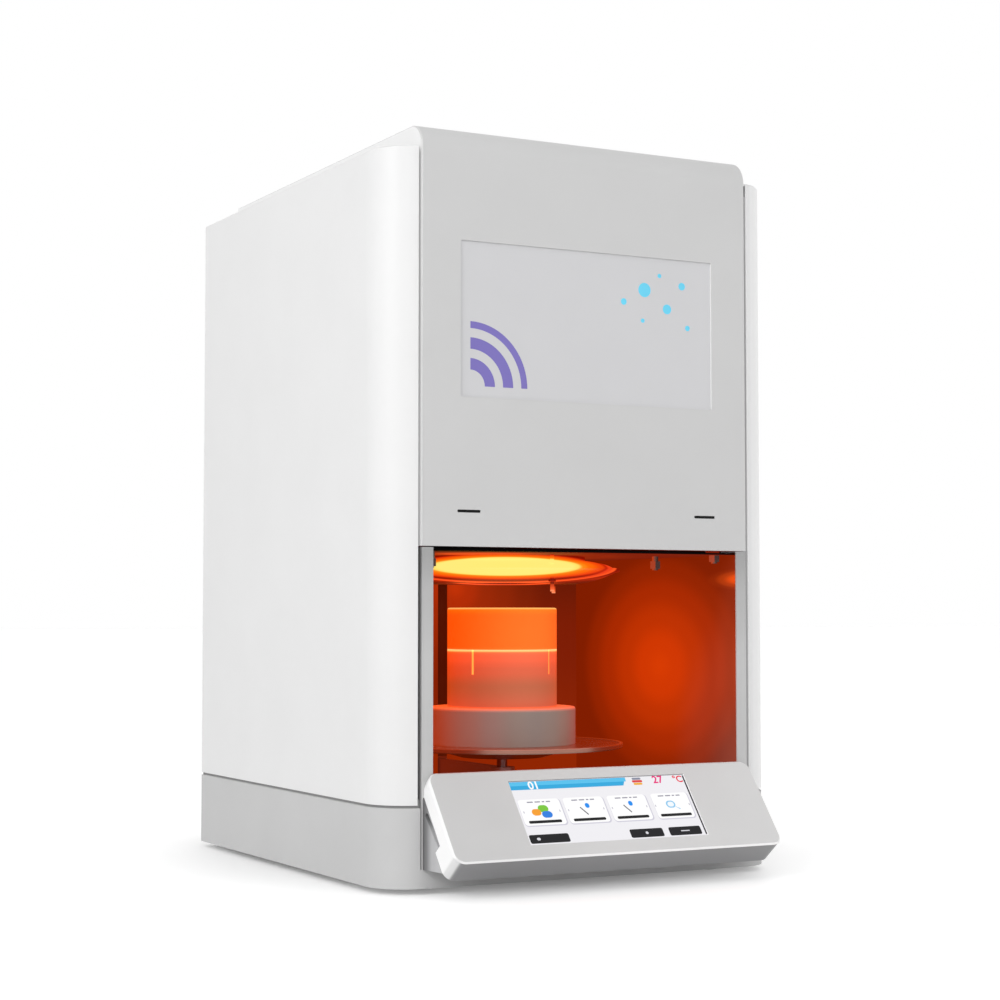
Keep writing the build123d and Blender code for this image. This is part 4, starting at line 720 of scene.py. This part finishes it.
# ---- Lift table ----------------------------------------------------------------------------
# A spun stainless table with an upright rim, on a shallow dish and a ground shaft. The table and
# its polished rim carry a painted reflection of the hot bay, brightest at the top.


def satin_metal(name, code, rough, metal):
    """A ground or anodised surface with a fine even grain."""
    return finish(name, tone(code), rough, metal=metal, grain=0.6 * mm, depth=0.01 * mm)


table_steel = satin_metal("table_steel", "8A7468", 0.28, 0.9)
table_low, table_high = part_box("lift_table")
# A painted reflection of the hot bay, brightest at the top.
table_stops = (
    (0.0, "200800"), (0.4, "6A1E06"), (0.6, "5A1604"), (0.9, "782208"), (1.0, "8A2C0E"),
)
up_the_stack(table_steel, table_low.z, table_high.z, table_stops)
dress(table_steel, "lift_table")
dress(satin_metal("dish_steel", "9A9090", 0.3, 0.9), "table_dish", "lift_shaft")

# ---- Lift arm and carriage -----------------------------------------------------------------
# Anodised aluminium. The arm is screwed to the carriage behind the bay and reaches through the slot
# in the rear wall to the shaft; it has painted dark red light of the bay. The power controller
# is anodised alike.

arm_silver = "A8A8AA"
carriage_metal = satin_metal("arm_anodised", arm_silver, 0.4, 0.8)
dress(carriage_metal, "lift_carriage", "power_controller")
arm_metal_painted_light = satin_metal("arm_painted_bay_light", arm_silver, 0.4, 0.8)
# Painted dark red light of the bay on the arm.
painted_arm_light = ((0.0, "44120A"), (1.0, "30100A"))
painted_glow(arm_metal_painted_light, (0, bay_low.y, 0), stack, painted_arm_light)
dress(arm_metal_painted_light, "lift_arm")

# ---- Console -------------------------------------------------------------------------------
# A tilted plastic tray with a bevelled rim, in the pale grey of the sides. Its lower and left
# bevels and its left end have painted highlights, its skirt has painted shade, and a painted
# gradient runs from left to right. It sits on a housing whose cheeks spread towards the portal,
# where a painted shadow falls on them.

bezel_grey = (0.92, 0.92, 0.92)
bezel = finish("console_moulding", bezel_grey, 0.35, grain=0.6 * mm, depth=0.02 * mm)
tilt = math.radians(38.8)
face_out = Vector((0, -math.cos(tilt), math.sin(tilt)))
face_up = Vector((0, math.sin(tilt), math.cos(tilt)))
# Painted shade: the face is a little darker than its bevels.
face_shade = ((0.0, "FFFFFF"), (0.92, "FFFFFF"), (0.985, "E2E2E2"))
facing(bezel, face_out, face_shade)
# Painted shade on the skirt under the tray, and a little on the top.
skirt_shade = (
    (0.0, "98989A"), (0.04, "9E9EA0"), (0.12, "FFFFFF"), (0.8, "FFFFFF"), (1.0, "E4E4E4"),
)
facing(bezel, face_up, skirt_shade)
bezel_side = 163 * mm
# A painted gradient of light, darker at the left.
bezel_shade = ((0.0, "F0F0F0"), (0.5, "FCFCFC"), (1.0, "FFFFFF"))
shade(bezel, (-bezel_side, 0, 0), (bezel_side, 0, 0), bezel_shade)
# Painted highlights on the lower and left bevels, and painted light on the left end.
rim_light = ((0.0, "000000"), (0.93, "000000"), (1.0, "606060"))
painted_gleam(bezel, face_out - face_up, rim_light)
painted_gleam(bezel, face_out + Vector(leftward), rim_light)
left_light = ((0.0, "000000"), (0.96, "000000"), (1.0, "787878"))
painted_gleam(bezel, leftward, left_light)
dress(bezel, "console_bezel")

cheek_grey = (0.52, 0.52, 0.53)
cheek = finish("cheek_moulding", cheek_grey, 0.45, grain=0.6 * mm)
cheek_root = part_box("front_portal")[0].y
cheek_reach = 24 * mm
# Painted shadow on the cheeks, darkest where they meet the portal.
cheek_shade = ((0.0, "707070"), (0.15, "A0A0A0"), (0.6, "F4F4F4"), (1.0, "FFFFFF"))
shade(cheek, (0, cheek_root, 0), (0, cheek_root - cheek_reach, 0), cheek_shade)
dress(cheek, "console_housing")

# ---- Touch screen --------------------------------------------------------------------------
# A lit colour display under its touch glass, held in the tray. The layout is generic: a header bar
# with numbers, four tiles with simple symbols and three dark keys.

glass_thickness = 2.2 * mm
glass_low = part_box("touch_glass")[0]
screen_face = Matrix((
    (1, 0, 0, 0),
    (0, math.sin(tilt), -math.cos(tilt), glass_low.y),
    (0, math.cos(tilt), math.sin(tilt), glass_low.z + glass_thickness * math.sin(tilt)),
    (0, 0, 0, 1),
))
pixel_layer = 0.05 * mm


def lit(name, code, strength=0.9):
    """A lit area of the display: fine pixel grain over an even colour."""
    material = finish(name, tone(code), 0.15, grain=0.25 * mm, depth=0.002 * mm, cloud=0.01)
    mirror_share(material, 0.2)
    shader = material.node_tree.nodes["Principled BSDF"]
    shader.inputs["Emission Color"].default_value = tone(code) + [1]
    shader.inputs["Emission Strength"].default_value = strength
    tint = material.node_tree.nodes["tint"]
    for band in tint.color_ramp.elements:
        band.color = [c * (1 - strength) for c in band.color[:3]] + [1]
    return material


def screen_area(name, outlines, code, layer=1):
    """Areas of one colour on the display, each an outline with its middle in millimetres."""
    bm = bmesh.new()
    for outline, x, y in outlines:
        place = screen_face @ Matrix.Translation((x * mm, y * mm, 0))
        slab(bm, [(a * mm, b * mm) for a, b in outline], place, layer * pixel_layer)
    solid(name, bm, lit(name, code), "cabinet")


def screen_text(name, text, x, y, height, code, layer=2):
    """Numerals on the display, with their lower left corner at a place in millimetres."""
    numeral_share, stroke_gain = 0.7, 0.03
    curve = bpy.data.curves.new(name, "FONT")
    curve.body = text
    curve.size = height * mm / numeral_share
    curve.offset = height * mm * stroke_gain
    curve.extrude = pixel_layer / 2
    words = bpy.data.objects.new(name, curve)
    mesh = bpy.data.meshes.new_from_object(words)
    bpy.data.objects.remove(words)
    mesh.transform(screen_face @ Matrix.Translation((x * mm, y * mm, layer * pixel_layer)))
    piece = bpy.data.objects.new(name, mesh)
    bpy.context.scene.collection.objects.link(piece)
    mesh.materials.clear()
    mesh.materials.append(lit(name, code))
    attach(piece, "cabinet")


dress(lit("display_ground", "F0EFF3"), "touch_glass")
dress(lit("display_module", "E8E6F0", 0.2), "display_module")
header_x, header_y = -30.6, 59.3
header = [(-58.0, -4.1), (54.0, -4.1), (58.5, 4.1), (-58.0, 4.1)]
header_top = [(-58, 0), (58, 0), (58.4, 3.6), (-58, 3.6)]
screen_area("screen_header", [(header, header_x, header_y)], "2FA9DE")
screen_area("screen_header_light", [(header_top, header_x, header_y)], "58C2EE", 2)
screen_text("screen_program", "01", -71, 55.6, 7.6, "FFFFFF", 3)
screen_text("screen_degrees", "27", 55, 56.2, 7.4, "E8287A")
screen_text("screen_unit", "\N{DEGREE SIGN}C", 76, 56.2, 6.6, "E83048")
# A dark strip along the right edge of the display, painted shade of the window's recess.
edge = [(-0.8, -31), (0.8, -31), (0.8, 31), (-0.8, 31)]
screen_area("screen_edge_painted_shade", [(edge, 87.8, 31.9)], "3C3C40")
icon_x = 38.8
band = rounded(9, 2.2, 1.0, 4)
wide_band = rounded(10.4, 2.4, 1.0, 4)
screen_area("screen_icon_upper", [(band, icon_x, 61.6)], "8A8EA0")
screen_area("screen_icon_middle", [(wide_band, icon_x, 58.9)], "E04848")
screen_area("screen_icon_lower", [(band, icon_x, 56.2)], "F2B03A")

# The middle and the width of each tile, from left to right.
tiles = ((-66.5, 40.4), (-22.8, 39.8), (20.9, 39.1), (65.1, 37.6))
tile_y = 32.1
shades = [(rounded(width + 1.4, 27.0, 3.4, 6), x + 0.5, tile_y - 0.7) for x, width in tiles]
screen_area("screen_tile_shade", shades, "D2D0DC")
plates = [(rounded(width, 26.0, 3.0, 6), x, tile_y) for x, width in tiles]
screen_area("screen_tiles", plates, "FFFFFF", 2)
pills = [(rounded(32, 2.8, 1.2, 4), x, 22.4) for x, _ in tiles]
screen_area("screen_pills", pills, "141416", 3)
# Each dash's place beside the middle of its tile, and its length.
dash_marks = ((-8.5, 6.0), (-1.2, 5.6), (4.4, 2.6), (9.2, 4.4))
dashes = [
    (rounded(width, 1.2, 0.5, 3), x + along, 42.4) for x, _ in tiles for along, width in dash_marks
]
screen_area("screen_captions", dashes, "9A98A6", 3)
arrow = rounded(1.0, 2.2, 0.4, 3)
arrows = [(arrow, x + side * 17.5, 32.5) for x, _ in tiles for side in (-1, 1)]
screen_area("screen_arrows", arrows, "C4C2CE", 3)
screen_area("screen_circle_green", [(rounded(10, 7.2, 3.6), -64.5, 35.4)], "7AC83A", 3)
screen_area("screen_circle_orange", [(rounded(9, 6.6, 3.3), -72, 32.0)], "F7A02C", 4)
screen_area("screen_circle_blue", [(rounded(10, 6.6, 3.3), -62.4, 29.4)], "2F7FE0", 5)
drops = [(rounded(4.2, 5.0, 2.0), x, 36.4) for x in (-20.6, 23.1)]
screen_area("screen_drops", drops, "1E8FF0", 3)
pen = [(-3.6, 3.4), (-4.4, 2.6), (1.4, -5.2), (2.2, -4.4)]
screen_area("screen_pens", [(pen, x, 32.0) for x in (-24.2, 19.5)], "5A5A64", 3)
magnifier_x, magnifier_y = 63.5, 33.4
handle = [(7.8, -5.6), (8.6, -4.8), (4.6, -3.2), (3.6, -2.2)]
screen_area("screen_lens", [(rounded(9.4, 7.4, 3.7), magnifier_x, magnifier_y)], "8CC8EE", 3)
screen_area("screen_lens_middle", [(rounded(6.4, 5.0, 2.5), magnifier_x, magnifier_y)], "F4FAFF", 4)
screen_area("screen_handle", [(handle, magnifier_x, magnifier_y)], "8CC8EE", 3)
key_y = 5.6
# The middle and the width of each key, from left to right.
keys = ((-68.4, 38.3), (28.1, 33.4), (67.4, 32.8))
key_plates = [(rounded(width, 8.6, 1.6, 5), x, key_y) for x, width in keys]
screen_area("screen_keys", key_plates, "17171A", 2)
key_marks = [
    (rounded(3.4, 2.6, 1.2), -79, key_y),
    (rounded(2.8, 2.8, 1.4), 28.1, key_y),
    (rounded(9, 1.0, 0.4, 3), 67.4, key_y),
]
screen_area("screen_key_marks", key_marks, "DADAE0", 3)

# ---- Chassis -------------------------------------------------------------------------------
# Folded zinc-plated sheets carry the muffle, the bearing plates and the motor's bracket. The
# plating shows a faint spangle.

zinc_grey = (0.45, 0.46, 0.47)
zinc = finish("zinc_plate", zinc_grey, 0.35, metal=0.9, grain=4 * mm, depth=0.01 * mm, cloud=0.12)
dress(zinc, "left_chassis", "right_chassis", "bulkhead")
dress(zinc, "lower_bearing_plate", "upper_bearing_plate", "motor_bracket")

# ---- Muffle --------------------------------------------------------------------------------
# A zinc-plated casing, darkened at its foot with painted shade, holds soft white fibre board. The
# dark elements reach up through steatite plugs in the roof, where aluminium straps join them.

shaded_zinc = finish("zinc_round_muffle", tone("9A9C9E"), 0.4, metal=0.7, grain=8 * mm, cloud=0.12)
casing_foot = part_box("muffle_casing")[0].z
shade_height = 16 * mm
# Painted shade darkens the foot of the casing.
painted_foot_shade = ((0.0, "1C1A18"), (0.6, "1C1A18"), (1.0, "FFFFFF"))
shade(shaded_zinc, (0, 0, casing_foot), (0, 0, casing_foot + shade_height), painted_foot_shade)
dress(shaded_zinc, "muffle_casing")
board = finish("fibre_board", tone("E8E2D4"), 0.95, grain=1.5 * mm, depth=0.15 * mm, cloud=0.05)
dress(board, "insulation_floor", "insulation_wall", "insulation_roof")
silicide = finish("element_silicide", tone("6E5E58"), 0.6, grain=0.8 * mm, cloud=0.1)
dress(silicide, "heating_elements")
steatite = finish("steatite", tone("DDD3C0"), 0.55, grain=0.6 * mm, cloud=0.04)
dress(steatite, "element_holders", "thermocouple")
strap = finish("strap_aluminium", tone("C8C8CA"), 0.4, metal=1.0, grain=1.2 * mm, depth=0.05 * mm)
dress(strap, "element_straps")

# ---- Lift drive ----------------------------------------------------------------------------
# Rods, screw, shaft and coupling are ground steel, and the bushes and the nut are turned bronze.
# The stepper motor is painted black, as is the mains transformer.

ground = finish("ground_steel", tone("C4C4C8"), 0.18, metal=1.0, grain=0.4 * mm, depth=0.004 * mm)
dress(ground, "guide_rods", "lead_screw", "motor_shaft", "shaft_coupling")
bronze = finish("bearing_bronze", tone("B08A4A"), 0.35, metal=1.0, grain=0.5 * mm, cloud=0.08)
dress(bronze, "carriage_bushes", "lift_nut")
motor_paint = (0.03, 0.03, 0.032)
motor_black = finish("motor_black", motor_paint, 0.4, grain=0.8 * mm)
dress(motor_black, "lift_motor", "power_transformer")

# ---- Rear fittings -------------------------------------------------------------------------
# Fan, mains inlet, switch and fuse holders are moulded in black plastic with a fine grain and are
# fixed in openings of the rear panel. The control board behind it has a green solder mask.

moulding_black = (0.018, 0.018, 0.019)
fitting_black = finish("fitting_black", moulding_black, 0.5, grain=0.5 * mm)
dress(fitting_black, "fan_frame", "fan_rotor", "power_inlet", "switch_frame", "fuse_holders")
gloss_black = (0.012, 0.012, 0.013)
rocker_black = finish("rocker_black", gloss_black, 0.3, grain=0.5 * mm, depth=0.01 * mm)
dress(rocker_black, "switch_rocker")
dress(finish("solder_mask", tone("1E6B3C"), 0.4, grain=2 * mm, cloud=0.2), "control_board")

# ---- Rear screws ---------------------------------------------------------------------------
# Zinc-plated button-head screws, each turned with a round socket. They hold the rear panel along
# its sides and the fan at its corners.

screw_zinc = finish("screw_zinc", tone("A8A8AC"), 0.3, metal=0.9, grain=0.4 * mm, depth=0.005 * mm)
rear_low, rear_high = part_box("rear_panel")
fan_low, fan_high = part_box("fan_frame")
fan_mid = (fan_low + fan_high) / 2
side_inset, end_inset = 9 * mm, 14 * mm
fan_spacing = 35.75 * mm
screw_heights = (
    rear_low.z + end_inset,
    (rear_low.z * 2 + rear_high.z) / 3,
    (rear_low.z + rear_high.z * 2) / 3,
    rear_high.z - end_inset,
)
panel_screws = [
    (side * (rear_high.x - side_inset), height) for side in (-1, 1) for height in screw_heights
]
fan_screws = [
    (fan_mid.x + side * fan_spacing, fan_mid.z + up * fan_spacing)
    for side in (-1, 1)
    for up in (-1, 1)
]
# Half of the head's outline, as radius and height in millimetres, from the middle of the socket.
head = ((0, 0.6), (1.5, 0.6), (1.8, 1.9), (2.7, 1.75), (3.4, 1.2), (3.75, 0.4), (3.8, 0))
bm = bmesh.new()
for x, z in panel_screws + fan_screws:
    start = [bm.verts.new((x + far * mm, rear_high.y + out * mm, z)) for far, out in head]
    edges = [bm.edges.new(pair) for pair in zip(start, start[1:])]
    bmesh.ops.spin(
        bm,
        geom=start + edges,
        cent=(x, rear_high.y, z),
        axis=(0, 1, 0),
        angle=math.tau,
        steps=24,
        use_merge=True,
        use_duplicate=False,
    )
bmesh.ops.remove_doubles(bm, verts=bm.verts, dist=weld)
for face in bm.faces:
    face.smooth = True
solid("rear_screws", bm, screw_zinc, "cabinet")

# ---- Floor, light and camera ---------------------------------------------------------------
# A plain pale studio floor and surround, with a painted contact shadow round the cabinet. A large
# softbox stands on the left, and weaker ones in front and on the right.


def background_rays(tree):
    """1 for what the camera sees, directly or in metal and glass, and 0 for light on the object."""
    path = tree.nodes.new("ShaderNodeLightPath")
    seen = path.outputs["Is Camera Ray"]
    for ray in ("Is Glossy Ray", "Is Transmission Ray"):
        either = tree.nodes.new("ShaderNodeMath")
        either.operation = "MAXIMUM"
        tree.links.new(seen, either.inputs[0])
        tree.links.new(path.outputs[ray], either.inputs[1])
        seen = either.outputs["Value"]
    return seen


floor_mesh = bpy.data.meshes.new("studio_floor")
floor = bpy.data.objects.new("studio_floor", floor_mesh)
bpy.context.scene.collection.objects.link(floor)
bm = bmesh.new()
bmesh.ops.create_grid(bm, x_segments=1, y_segments=1, size=30)
bm.to_mesh(floor_mesh)
bm.free()
floor_white = (0.88, 0.88, 0.88, 1)
floor_paint = bpy.data.materials.new("studio_floor")
floor_paint.use_nodes = True
tree = floor_paint.node_tree
shader = tree.nodes["Principled BSDF"]
shader.inputs["Base Color"].default_value = floor_white
shader.inputs["Roughness"].default_value = 0.6
shader.inputs["Specular IOR Level"].default_value = 0.2
# The floor's own light is lower round the cabinet: a painted contact shadow.
shadow_middle, shadow_edge = (-0.01, 0.06, 0), (0.39, 0.46, 0)
away_from_shadow = share_of(tree, shadow_middle, shadow_edge, radial=True)
floor_light_with_painted_shadow = colour_ramp(tree, away_from_shadow, ((0.45, "9C9C9C"), (1.0, "F4F4F4")))
tree.links.new(floor_light_with_painted_shadow, shader.inputs["Emission Color"])
floor_lift = 0.45
glow = tree.nodes.new("ShaderNodeMath")
glow.operation = "MULTIPLY"
glow.inputs[1].default_value = floor_lift
tree.links.new(background_rays(tree), glow.inputs[0])
tree.links.new(glow.outputs["Value"], shader.inputs["Emission Strength"])
floor_mesh.materials.append(floor_paint)

world = bpy.data.worlds.new("studio")
bpy.context.scene.world = world
world.use_nodes = True
tree = world.node_tree
surround = tree.nodes["Background"]
light_on_object, light_in_sight = 0.6, 1.0
level = tree.nodes.new("ShaderNodeMapRange")
level.inputs["To Min"].default_value = light_on_object
level.inputs["To Max"].default_value = light_in_sight
tree.links.new(background_rays(tree), level.inputs["Value"])
tree.links.new(level.outputs["Result"], surround.inputs["Strength"])
surround.inputs["Color"].default_value = (1, 1, 1, 1)


def softbox(name, place, aim, size, watts):
    """A square studio softbox, aimed at a point."""
    lamp = bpy.data.lights.new(name, "AREA")
    lamp.size = size
    lamp.energy = watts
    item = bpy.data.objects.new(name, lamp)
    bpy.context.scene.collection.objects.link(item)
    item.location = place
    item.rotation_euler = (Vector(aim) - Vector(place)).to_track_quat("-Z", "Y").to_euler()


middle_of_cabinet = (0, 0, 0.3)
softbox("key_softbox", (-2.6, -1.2, 1.6), middle_of_cabinet, 1.6, 30)
softbox("front_softbox", (-1.3, -3.0, 1.4), middle_of_cabinet, 1.2, 14)
softbox("right_softbox", (2.4, -1.9, 1.2), middle_of_cabinet, 1.6, 9)

camera_data = bpy.data.cameras.new("camera")
camera_data.lens = 74.93
camera_data.sensor_width = 36
camera_tilt, camera_turn = math.radians(93.130), math.radians(-28.115)
camera = bpy.data.objects.new("camera", camera_data)
bpy.context.scene.collection.objects.link(camera)
camera.location = (-0.93753, -1.78117, 0.23577)
camera.rotation_euler = (camera_tilt, 0, camera_turn)
bpy.context.scene.camera = camera
bpy.context.scene.view_settings.view_transform = "Standard"
